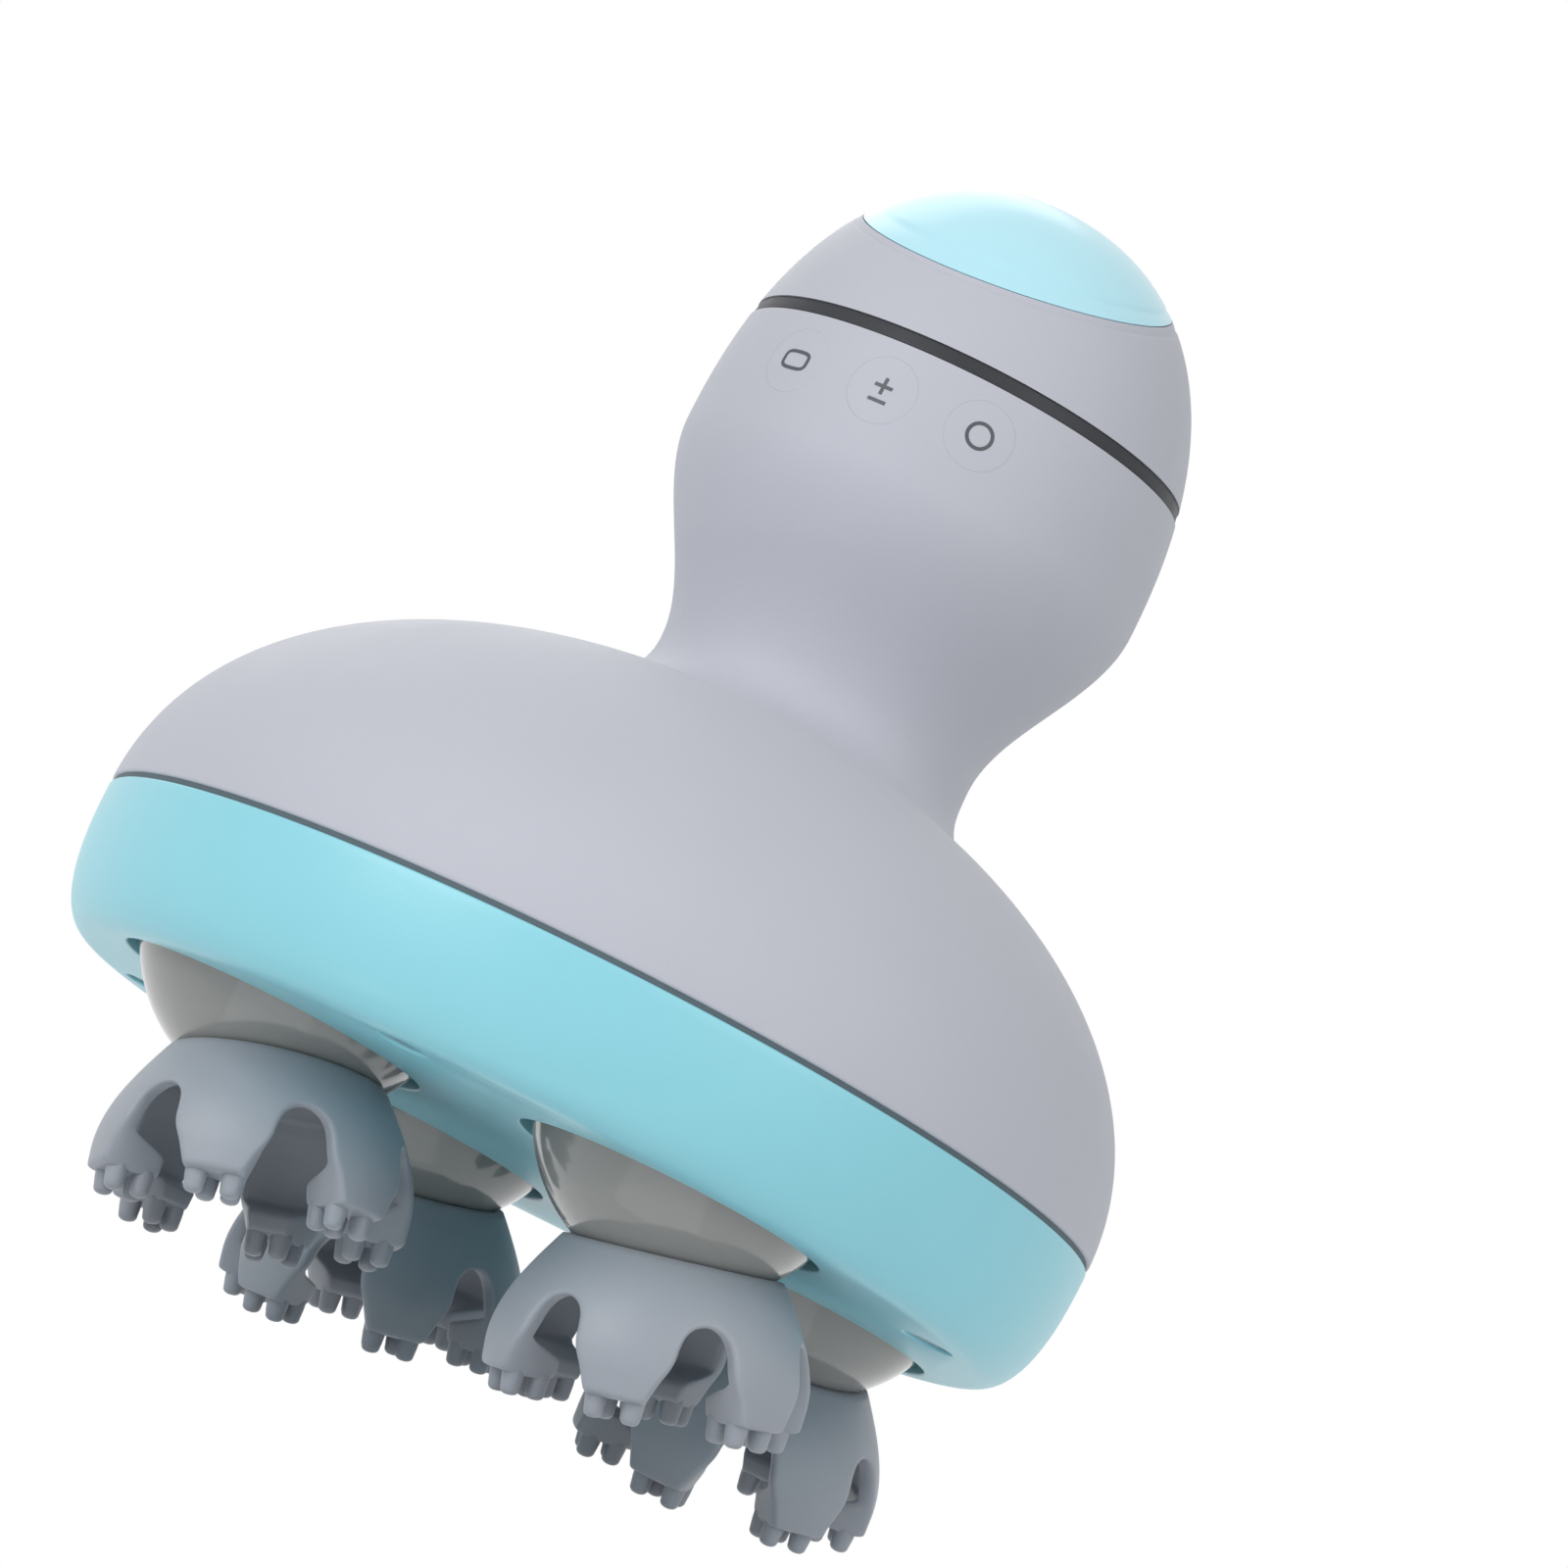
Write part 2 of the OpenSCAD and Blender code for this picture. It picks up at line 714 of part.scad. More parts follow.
module bush(z0, z1, flange_z) {
    difference() {
        union() {
            disc(bush_r, z0, z1);
            disc(bush_flange_r, flange_z, flange_z + bush_flange_t);
        }
        disc(shaft_r + fit, z0 - 2, z1 + 2);
    }
}

module lower_bushes() {
    color(bronze) at_each_pod() bush(-plate_drop, plate_top + bush_flange_t, plate_top);
}

module upper_bushes() {
    color(bronze) at_each_pod()
        bush(cover_z - bush_flange_t, cover_top, cover_z - bush_flange_t);
}

module sun_axle() {
    color(steel) at_seam() disc(axle_r, -plate_drop, cover_top);
}

// Motor
module motor_screw_places() {
    at_handle() for (side = [-1, 1]) translate([side * motor_screw_d, 0, 0]) children();
}

module gearhead() {
    color(steel) difference() {
        at_handle() union() {
            disc(motor_r, cover_top, gearhead_top);
            disc(pilot_r, cover_top - pilot_drop, cover_top + weld);
        }
        at_handle() disc(motor_shaft_r + fit, cover_z - 1, cover_top + shaft_in_head + end_play);
        motor_screw_places() disc(cover_screw_r + press, cover_top - 1, cover_top + motor_screw_bite + 1);
    }
}

module motor_can() {
    color(steel) at_handle() disc(motor_r, gearhead_top, can_top);
}

module motor_end_cap() {
    color(charcoal) at_handle() {
        disc(motor_r - 0.8, can_top, end_cap_top);
        for (side = [-1, 1]) translate([side * lead_x, board_mid_y, 0])
            block(terminal_w, terminal_t, end_cap_top - weld, end_cap_top + terminal_h);
    }
}

module motor_leads() {
    color("firebrick") at_handle() for (side = [-1, 1])
        translate([side * lead_x, board_mid_y, 0]) disc(lead_r, end_cap_top + terminal_h, board_z);
}

// Electrics
module inner_frame() {
    color(natural) difference() {
        union() {
            at_handle() disc(frame_r, ledge_z, frame_top);
            at_handle() block(battery_w + 2, frame_t, frame_top - weld, battery_top + 2);
            at_handle() for (side = [-1, 1])
                translate([side * (battery_w / 2 + battery_gap + frame_t / 2), battery_t / 2, 0])
                    block(frame_t, battery_t, battery_top - battery_h + rib_inset, battery_top - rib_inset);
            at_board_standoffs() disc(standoff_r, 0, board_y - board_t);
        }
        at_board_standoffs() disc(small_screw_r + press, board_y - board_t - small_screw_bite, board_y);
        at_handle() translate([0, board_mid_y, 0])
            block(2 * lead_x + lead_slot, lead_slot, ledge_z - 1, frame_top + 1);
        frame_screw_places() disc(small_screw_r + hole_gap, ledge_z - 1, frame_top + 1);
    }
}

// On the front of the inner frame, with z towards the buttons
module at_board_standoffs() {
    at_handle() for (place = standoffs) translate([place[0], 0, place[1]]) rotate([90, 0, 0])
        children();
}

module battery_cell() {
    color("steelblue") at_handle() translate([0, battery_y + battery_t / 2, 0])
        block(battery_w, battery_t, battery_top - battery_h, battery_top);
}

module battery_leads() {
    front_y = board_mid_y;
    back_y = battery_y + battery_t / 2;
    color("firebrick") at_handle() for (x = [-lead_x, lead_x])
        translate([x, (front_y + back_y) / 2, battery_top]) rotate([90, 0, 90])
            rotate_extrude(angle = 180) translate([(back_y - front_y) / 2, 0]) circle(lead_r);
}

module circuit_board() {
    color(board_green) difference() {
        at_handle() translate([0, board_mid_y, 0])
            block(board_w, board_t, board_z, board_z + board_h);
        at_board_standoffs() disc(small_screw_r + hole_gap, board_y - board_t - 1, board_y + 1);
    }
}

module board_parts() {
    color(charcoal) at_handle() for (c = chips)
        translate([c[0], -board_y - c[3] / 2, board_z + c[1]]) block(c[2], c[3], 0, c[4]);
}

module switch_carrier() {
    color(natural) at_handle() for (a = button_turns) rotate([0, 0, a])
        translate([0, -switch_d + frame_t / 2, 0])
            block(carrier_w, frame_t, frame_top, button_z + switch_w / 2 + carrier_margin);
}

module tact_switches() {
    color(charcoal) for (a = button_turns) on_handle(a, button_z) {
        block(switch_w, switch_w, switch_d, switch_d + switch_h);
        disc(plunger_r, switch_d + switch_h - weld, plunger_tip);
    }
}

module charge_disc() {
    color(charcoal) on_handle(180, charge_z) difference() {
        union() {
            disc(charge_r, disc_flange_face - weld, charge_face);
            disc(charge_r + disc_lip, disc_flange_face - disc_flange_t, disc_flange_face);
        }
        contact_places() disc(contact_r + press, disc_flange_face - 3, charge_face + 1);
    }
}

module contact_places() {
    for (side = [-1, 1]) translate([0, side * contact_pitch / 2, 0]) children();
}

module charge_contacts() {
    color(bronze) on_handle(180, charge_z) contact_places()
        disc(contact_r, disc_flange_face - disc_flange_t - 1, charge_face);
}

// Fasteners
module shell_screws() {
    color(steel) at_cross(shell_screw_d)
        translate([0, 0, -base_h + shell_head_h + head_recess])
            screw(shell_head_r, shell_head_h, shell_screw_r,
                plate_top + shell_screw_bite + base_h - shell_head_h - head_recess);
}

module gearbox_screws() {
    color(steel) at_cross(cover_screw_d) translate([0, 0, cover_top]) mirror([0, 0, 1])
        screw(cover_head_r, screw_head_h, cover_screw_r, plate_t + cover_screw_bite);
}

module motor_screws() {
    color(steel) motor_screw_places() translate([0, 0, cover_z])
        screw(cover_head_r, screw_head_h, cover_screw_r, plate_t + motor_screw_bite);
}

module frame_screws() {
    color(steel) frame_screw_places() translate([0, 0, frame_top]) mirror([0, 0, 1])
        screw(small_head_r, small_head_h, small_screw_r, frame_t + small_screw_bite - 0.5);
}

module board_screws() {
    color(steel) at_board_standoffs() translate([0, 0, board_y]) mirror([0, 0, 1])
        screw(small_head_r, small_head_h, small_screw_r, board_t + small_screw_bite - 0.5);
}

// Gear train
module gear(module_size, teeth, z0, width) {
    translate([0, 0, z0]) linear_extrude(width) polygon(gear_outline(module_size, teeth));
}

module drive_pinion() {
    color(steel) at_handle() {
        rotate([0, 0, mesh_turn(90, wheel_teeth, pinion_teeth)])
            gear(in_module, pinion_teeth, wheel_z, wheel_w + head_room);
        disc(motor_shaft_r, wheel_z, cover_top + shaft_in_head);
    }
}

module compound_gear() {
    color(natural) at_seam() difference() {
        union() {
            gear(out_module, sun_teeth, gear_z, gear_w);
            gear(in_module, wheel_teeth, wheel_z, wheel_w);
            disc(hub_r, plate_top + end_play, cover_z - end_play);
        }
        disc(axle_r + fit, plate_top - 1, cover_z + 1);
    }
}

module output_gear(i) {
    color(natural) at_pod(i) difference() {
        union() {
            rotate([0, 0, mesh_turn(pod_angles[i], sun_teeth, out_teeth)])
                gear(out_module, out_teeth, gear_z, gear_w);
            disc(hub_r, gear_z, hub_top);
        }
        disc(shaft_r + press, gear_z - 1, hub_top + 1);
    }
}

module output_shaft(i) {
    color(steel) at_pod(i) disc(shaft_r, pod_hub_top - ball_drop - shaft_in_pod, cover_top);
}

// Bowls and claws, both drawn from the bowl's centre
module pod_outer(i) {
    difference() {
        union() {
            sphere(ball_r);
            disc(ball_r, 0, skirt_h);
        }
        disc(reach, skirt_h, reach);
        tilt_claw(i) disc(reach, seat_d, reach);
    }
}

module pod(i) {
    color(pod_grey) at_ball(i) difference() {
        intersection() {
            union() {
                difference() {
                    pod_outer(i);
                    pod_hollow(i);
                }
                disc(pod_hub_r, -ball_r, pod_hub_top);
            }
            union() {
                pod_outer(i);
                disc(pod_hub_r + 1, 0, pod_hub_top + 1);
            }
        }
        disc(shaft_r + press, pod_hub_top - shaft_in_pod, pod_hub_top + 1);
        tilt_claw(i) disc(plug_r + plug_gap, seat_d - plug_h - plug_gap, seat_d + 1);
    }
}

module pod_hollow(i) {
    difference() {
        union() {
            sphere(ball_r - ball_wall);
            disc(ball_r - ball_wall, 0, skirt_h + 1);
        }
        disc(reach, skirt_h + 1, reach);
        tilt_claw(i) disc(reach, seat_d - seat_t, reach);
    }
}

module claw_arch() {
    length = 2 * claw_r;
    side = length * tan(arch_half) / cos(arch_lean);
    translate([claw_r / 2, 0, seat_d + arch_mid]) rotate([0, 90, 0]) cylinder(r = arch_r, h = claw_r);
    intersection() {
        tube(claw_r + 1, claw_r / 2, seat_d + arch_mid, leg_end + 1);
        translate([0, 0, leg_end]) rotate([0, -arch_lean, 0]) translate([0, 0, -length])
            linear_extrude(2 * length) polygon([[0, 0], [length, side], [length, -side]]);
    }
}

module nub() {
    disc(nub_r, leg_end - weld, tip_d - tip_taper);
    translate([0, 0, tip_d - tip_taper]) cylinder(r1 = nub_r, r2 = tip_r, h = tip_taper);
}

module claw(i) {
    color(silicone) at_ball(i) tilt_claw(i) rotate([0, 0, leg_turn[i]]) {
        difference() {
            union() {
                rotate_extrude() polygon(bell_outline());
                disc(plug_r, seat_d - plug_h, seat_d + weld);
            }
            for (leg = [0 : legs - 1]) rotate([0, 0, (leg + 0.5) * 360 / legs]) claw_arch();
        }
        for (place = nub_places) rotate([0, 0, place[1]]) translate([place[0], 0, 0]) nub();
    }
}

// Buttons, each pressed along its own radius
module button(i) {
    turn = button_turns[i];
    color(grey) {
        intersection() {
            on_handle(turn, button_z) disc(button_r, flange_face - weld, reach);
            at_handle() handle_solid(0, neck_z, ring_z);
        }
        on_handle(turn, button_z) disc(button_r + flange_lip, flange_face - flange_t, flange_face);
        on_handle(turn, button_z) disc(stem_r, stem_end, flange_face);
    }
}

body_shell();
trim_ring();
top_cap();
cap_inlay();
base_shell();
shell_seal();
pod_seals();
gear_plate();
gearbox_cover();
lower_bushes();
upper_bushes();
sun_axle();
gearhead();
motor_can();
motor_end_cap();
motor_leads();
inner_frame();
battery_cell();
battery_leads();
circuit_board();
board_parts();
switch_carrier();
tact_switches();
charge_disc();
charge_contacts();
shell_screws();
gearbox_screws();
motor_screws();
frame_screws();
board_screws();
drive_pinion();
compound_gear();
for (i = [0 : 2]) button(i);
for (i = [0 : 3]) output_gear(i);
for (i = [0 : 3]) output_shaft(i);
for (i = [0 : 3]) pod(i);
for (i = [0 : 3]) claw(i);
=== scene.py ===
"""Electric scalp massager: the finish of every piece, a plain pale floor, soft light and a camera.

Shapes are worked out in millimetres, measured from the seam between the two shells, as arrays of
points on a grid. They are written into meshes in metres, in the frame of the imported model.
"""

from __future__ import annotations

import logging
import math
from dataclasses import dataclass, field
from enum import Enum
from functools import cache

import bmesh
import bpy
import numpy as np
from mathutils import Matrix, Vector

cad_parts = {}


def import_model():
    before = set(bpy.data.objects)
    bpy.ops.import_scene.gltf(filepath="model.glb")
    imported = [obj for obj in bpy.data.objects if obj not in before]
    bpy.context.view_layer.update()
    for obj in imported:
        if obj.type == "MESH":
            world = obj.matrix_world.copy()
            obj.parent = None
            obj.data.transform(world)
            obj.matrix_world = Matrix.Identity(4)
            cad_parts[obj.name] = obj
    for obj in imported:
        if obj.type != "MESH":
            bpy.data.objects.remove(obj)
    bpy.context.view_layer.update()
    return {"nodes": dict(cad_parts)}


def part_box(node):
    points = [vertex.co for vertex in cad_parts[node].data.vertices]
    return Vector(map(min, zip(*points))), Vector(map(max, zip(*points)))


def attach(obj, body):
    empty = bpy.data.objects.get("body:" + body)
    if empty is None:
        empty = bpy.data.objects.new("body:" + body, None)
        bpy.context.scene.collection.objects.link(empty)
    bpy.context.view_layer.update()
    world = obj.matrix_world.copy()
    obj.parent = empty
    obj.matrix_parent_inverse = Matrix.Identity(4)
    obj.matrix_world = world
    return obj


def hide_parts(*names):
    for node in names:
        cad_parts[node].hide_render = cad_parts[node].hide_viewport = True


LOG = logging.getLogger("scalp_massager")
MM = 0.001
NO_LENGTH, NO_STEP = 1e-8, 1e-9
SHARP_DEGREES = 38.0
WHITE = (1.0, 1.0, 1.0, 1.0)
Array = np.ndarray
Socket = bpy.types.NodeSocket
Inputs = dict[str | int, object]


# ---------------------------------------------------------------- numbers and curves


def superellipse(count: int, power: float = 2.0) -> tuple[Array, Array]:
    """Quarter of a superellipse, from (1, 0) to (0, 1).

    Formula: the cosine and the sine of evenly spaced angles, each to the power of two over power.

    Args:
        count: Number of points.
        power: Squareness, where 2 is a circle.

    Returns:
        The points' first and second coordinates.
    """
    angle = np.linspace(0, np.pi / 2, count)
    return np.cos(angle).clip(0) ** (2 / power), np.sin(angle).clip(0) ** (2 / power)


def full_turn(columns: int) -> Array:
    """Evenly spaced angles round a full turn, without the last, which is the first again."""
    return np.linspace(0, 2 * np.pi, columns, endpoint=False)


def join_rows(*runs: Array) -> Array:
    """Runs of profile points, one after the other, as one profile."""
    return np.concatenate([np.atleast_2d(run) for run in runs])


def drum(radius: float, low: float, high: float) -> Array:
    """Profile (radius, height) of a closed upright cylinder."""
    return np.array([[0, low], [radius, low], [radius, high], [0, high]])


def resample(curve: Array, count: int) -> Array:
    """The same curve with evenly spaced points.

    Formula: each coordinate is interpolated over the distance along the curve.

    Args:
        curve: Points of the curve, one a row.
        count: Number of points wanted.

    Returns:
        An array of count points.
    """
    steps = np.linalg.norm(np.diff(curve, axis=0), axis=1)
    along = np.concatenate([[0.0], np.cumsum(steps)])
    wanted = np.linspace(0, along[-1], count)
    return np.stack([np.interp(wanted, along, part) for part in curve.T], axis=1)


def revolve(profile: Array, segments: int, centre: tuple[float, float] = (0.0, 0.0)) -> Array:
    """Surface of revolution about an upright axis.

    Formula: each profile point (radius, height) is carried round a full circle.

    Args:
        profile: Points (radius, height).
        segments: Points round the circle.
        centre: Where the axis stands, (x, y).

    Returns:
        Points as an array of rows, segments, 3.
    """
    turn = full_turn(segments)
    radius, height = profile[:, 0:1], profile[:, 1:2]
    x = centre[0] + radius * np.cos(turn)
    y = centre[1] + radius * np.sin(turn)
    return np.stack([x, y, np.broadcast_to(height, x.shape)], axis=-1)


def rotation_y(degrees: float) -> Array:
    """Matrix that turns points about Y."""
    c, s = math.cos(math.radians(degrees)), math.sin(math.radians(degrees))
    return np.array([[c, 0, s], [0, 1, 0], [-s, 0, c]])


def rotation_z(degrees: float) -> Array:
    """Matrix that turns points about Z."""
    c, s = math.cos(math.radians(degrees)), math.sin(math.radians(degrees))
    return np.array([[c, -s, 0], [s, c, 0], [0, 0, 1]])


def polar(distance: float, degrees: float) -> Array:
    """The level point at a distance from the origin, turned about Z from +X."""
    return rotation_z(degrees) @ np.array([distance, 0, 0])


# ---------------------------------------------------------------- meshes


@dataclass
class MeshParts:
    """Grids and polygons that become one welded mesh."""

    points: list[Array] = field(default_factory=list)
    corners: list[Array] = field(default_factory=list)
    counts: list[Array] = field(default_factory=list)
    total: int = 0

    def grid(self, surface: Array, closed: bool = True) -> "MeshParts":
        """Adds a grid of points as four-sided faces.

        Args:
            surface: Points as rows, columns, 3, in millimetres.
            closed: Whether the last column joins the first.

        Returns:
            These parts.
        """
        rows, columns = surface.shape[:2]
        index = np.arange(rows * columns).reshape(rows, columns)
        across = np.concatenate([index, index[:, :1]], axis=1) if closed else index
        sides = across[:-1, :-1], across[:-1, 1:], across[1:, 1:], across[1:, :-1]
        quads = np.stack(sides, axis=-1)
        return self._add(surface.reshape(-1, 3), quads.reshape(-1), np.full(quads.size // 4, 4))

    def polygon(self, outline: Array) -> "MeshParts":
        """Adds one flat face with the outline's points as its corners."""
        return self._add(outline, np.arange(len(outline)), np.array([len(outline)]))

    def _add(self, points: Array, corners: Array, counts: Array) -> "MeshParts":
        """Keeps one more lot of points and faces.

        Args:
            points: The points, one a row.
            corners: For each face's corners in turn, which of these points it is.
            counts: The number of corners of each face.

        Returns:
            These parts.
        """
        self.points.append(points)
        self.corners.append(corners + self.total)
        self.counts.append(counts)
        self.total += len(points)
        return self

    def mesh(self, name: str, weld_mm: float = 0.001) -> bpy.types.Mesh:
        """Writes the parts into a mesh, welds what meets and turns the faces outwards.

        Args:
            name: Name of the mesh.
            weld_mm: Points closer than this become one.

        Returns:
            The mesh, in metres.
        """
        mesh = bpy.data.meshes.new(name)
        points, corners = np.concatenate(self.points) * MM, np.concatenate(self.corners)
        counts = np.concatenate(self.counts)
        starts = np.concatenate([[0], np.cumsum(counts)[:-1]])
        mesh.vertices.add(len(points))
        mesh.vertices.foreach_set("co", points.astype(np.float32).ravel())
        mesh.loops.add(len(corners))
        mesh.loops.foreach_set("vertex_index", corners.astype(np.int32))
        mesh.polygons.add(len(counts))
        mesh.polygons.foreach_set("loop_start", starts.astype(np.int32))
        mesh.update(calc_edges=True)
        weld(mesh, weld_mm)
        return mesh


def weld(mesh: bpy.types.Mesh, weld_mm: float) -> None:
    """Welds points that meet, drops faces with no area and turns the faces outwards.

    Args:
        mesh: The mesh to mend.
        weld_mm: Points closer than this become one.
    """
    work = bmesh.new()
    work.from_mesh(mesh)
    bmesh.ops.remove_doubles(work, verts=work.verts, dist=weld_mm * MM)
    bmesh.ops.dissolve_degenerate(work, dist=NO_LENGTH, edges=work.edges)
    bmesh.ops.recalc_face_normals(work, faces=work.faces)
    work.to_mesh(mesh)
    work.free()
    mesh.validate()


def shade(mesh: bpy.types.Mesh, sharp_degrees: float = SHARP_DEGREES) -> None:
    """Smooth shading, broken at sharp edges.

    Args:
        mesh: The mesh to shade.
        sharp_degrees: Edges that turn by more than this stay sharp.
    """
    mesh.polygons.foreach_set("use_smooth", np.ones(len(mesh.polygons), dtype=bool))
    mesh.set_sharp_from_angle(angle=math.radians(sharp_degrees))
    mesh.update()


def piece(name: str, parts: MeshParts, sharp_degrees: float = SHARP_DEGREES) -> bpy.types.Object:
    """A new object at the origin, with its place in its mesh.

    Args:
        name: Name of the object and its mesh.
        parts: The surfaces that it is made of.
        sharp_degrees: Edges that turn by more than this stay sharp.

    Returns:
        The object.
    """
    made = bpy.data.objects.new(name, parts.mesh(name))
    bpy.context.scene.collection.objects.link(made)
    shade(made.data, sharp_degrees)
    return made


def freeze(target: bpy.types.Object) -> None:
    """Applies an object's modifiers to its mesh.

    Args:
        target: The object.
    """
    bpy.context.view_layer.update()
    graph = bpy.context.evaluated_depsgraph_get()
    baked = bpy.data.meshes.new_from_object(target.evaluated_get(graph))
    target.modifiers.clear()
    target.data = baked


def cut(target: bpy.types.Object, cutter: MeshParts, sharp_degrees: float = SHARP_DEGREES) -> None:
    """Takes closed solids out of an object.

    Args:
        target: The object to cut.
        cutter: The solids.
        sharp_degrees: Edges that turn by more than this stay sharp.
    """
    tool = bpy.data.objects.new("cutter", cutter.mesh("cutter"))
    bpy.context.scene.collection.objects.link(tool)
    step = target.modifiers.new("cut", "BOOLEAN")
    step.operation, step.solver, step.object = "DIFFERENCE", "EXACT", tool
    freeze(target)
    bpy.data.objects.remove(tool)
    shade(target.data, sharp_degrees)


# ---------------------------------------------------------------- the frame


class Labelled(Enum):
    """Things that come in a set, each with a name in capitals."""

    @property
    def label(self) -> str:
        """The name as it stands in the names of nodes and pieces."""
        return self.name.lower()


class Pod(Labelled):
    """The four bowls, each with its heading, the heading of its claw's lean and its legs' turn."""

    FRONT_RIGHT = (-45.0, 45.0, 6.0)
    BACK_RIGHT = (45.0, 90.0, 4.0)
    BACK_LEFT = (135.0, 65.0, 0.0)
    FRONT_LEFT = (225.0, -5.0, 20.0)

    def __init__(self, heading: float, lean: float, leg_turn: float) -> None:
        """Names the three angles, in degrees."""
        self.heading, self.lean, self.leg_turn = heading, lean, leg_turn


class Press(Labelled):
    """The three buttons, each with its turn from the handle's front."""

    MODE = -25.0
    LEVEL = 0.0
    POWER = 25.0


@dataclass(frozen=True)
class Datum:
    """Places that every piece is measured from, in millimetres."""

    seam_z: float
    handle_y: float
    pod_d: float

    @staticmethod
    def from_frame() -> "Datum":
        """Reads the seam, the handle's axis and the bowls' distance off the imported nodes.

        Returns:
            The three places.
        """
        seal_low, seal_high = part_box("shell_seal")
        ring_low, ring_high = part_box("trim_ring")
        shaft_low, shaft_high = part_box("output_shaft_front_right")
        return Datum(
            seam_z=(seal_low.z + seal_high.z) / 2 / MM,
            handle_y=(ring_low.y + ring_high.y) / 2 / MM,
            pod_d=math.hypot(shaft_low.x + shaft_high.x, shaft_low.y + shaft_high.y) / 2 / MM,
        )

    def lift(self, surface: Array) -> Array:
        """Moves a surface that is measured from the seam into the frame."""
        return surface + np.array([0, 0, self.seam_z])

    def round_handle(self, surface: Array, degrees: float) -> Array:
        """Turns a surface about the handle's axis and moves it into the frame."""
        return self.lift(surface @ rotation_z(degrees).T + np.array([0, self.handle_y, 0]))

    def turned(self, profile: Array, segments: int, y: float = 0.0) -> Array:
        """Turns a profile about the upright axis at y and moves it into the frame."""
        return self.lift(revolve(profile, segments, (0, y)))


# ---------------------------------------------------------------- outlines


@dataclass(frozen=True)
class Dome:
    """Upper half of the head: a superellipse turned about the head's axis."""

    radius: float = 60.0
    height: float = 39.0
    power: float = 2.08

    def z(self, distance: Array, inset: float = 0.0) -> Array:
        """Height of the dome.

        Formula: height times (one minus (distance over radius) to the power) to one over the power.

        Args:
            distance: Distance from the head's axis.
            inset: How far inside the outer surface.

        Returns:
            Heights above the seam.
        """
        out = (distance / (self.radius - inset)).clip(0, 1)
        share = (1 - out**self.power) ** (1 / self.power)
        return (self.height - inset) * share

    def distance(self, z: float, inset: float = 0.0) -> float:
        """Distance from the head's axis at a height, the other way round."""
        share = (1 - (z / (self.height - inset)) ** self.power) ** (1 / self.power)
        return (self.radius - inset) * share


@dataclass(frozen=True)
class Handle:
    """Neck, bulge and round top, turned about the handle's axis, and where its rings lie."""

    neck_r: float = 19.4
    neck_z: float = 45.0
    foot_z: float = 29.0
    flare: float = 5.0
    flare_power: float = 2.2
    bulge_r: float = 28.0
    bulge_z: float = 69.0
    apex_z: float = 109.0
    cap_power: float = 2.3
    ring_z: float = 82.4
    ring_w: float = 1.8
    button_drop: float = 6.0

    @property
    def cap_z(self) -> float:
        """Height of the top cap's foot."""
        return self.ring_z + self.ring_w

    @property
    def button_z(self) -> float:
        """Height of the buttons' centres."""
        return self.ring_z - self.button_drop

    def radius(self, z: Array, inset: float = 0.0) -> Array:
        """Radius at a height.

        Formula: the neck's radius and a flare that grows as a power below it, then a smooth step
        out to the bulge, then a superellipse up to the top.

        Args:
            z: Heights above the seam.
            inset: How far inside the outer surface.

        Returns:
            Radii about the handle's axis.
        """
        down = ((self.neck_z - z) / (self.neck_z - self.foot_z)).clip(0, 1)
        up = ((z - self.neck_z) / (self.bulge_z - self.neck_z)).clip(0, 1)
        top = ((z - self.bulge_z) / (self.apex_z - inset - self.bulge_z)).clip(0, 1)
        swell = (self.bulge_r - self.neck_r) * up * up * (3 - 2 * up)
        lower = self.neck_r + self.flare * down**self.flare_power + swell
        upper = (self.bulge_r - inset) * (1 - top**self.cap_power) ** (1 / self.cap_power)
        return np.where(z < self.bulge_z, lower - inset, upper)


# ---------------------------------------------------------------- shader groups


def linear(red: float, green: float, blue: float) -> tuple[float, float, float, float]:
    """A colour as it shows on a screen, 0 to 1, turned into linear values by the sRGB curve."""
    screen = (red, green, blue)
    return (*(c / 12.92 if c <= 0.04045 else ((c + 0.055) / 1.055) ** 2.4 for c in screen), 1.0)


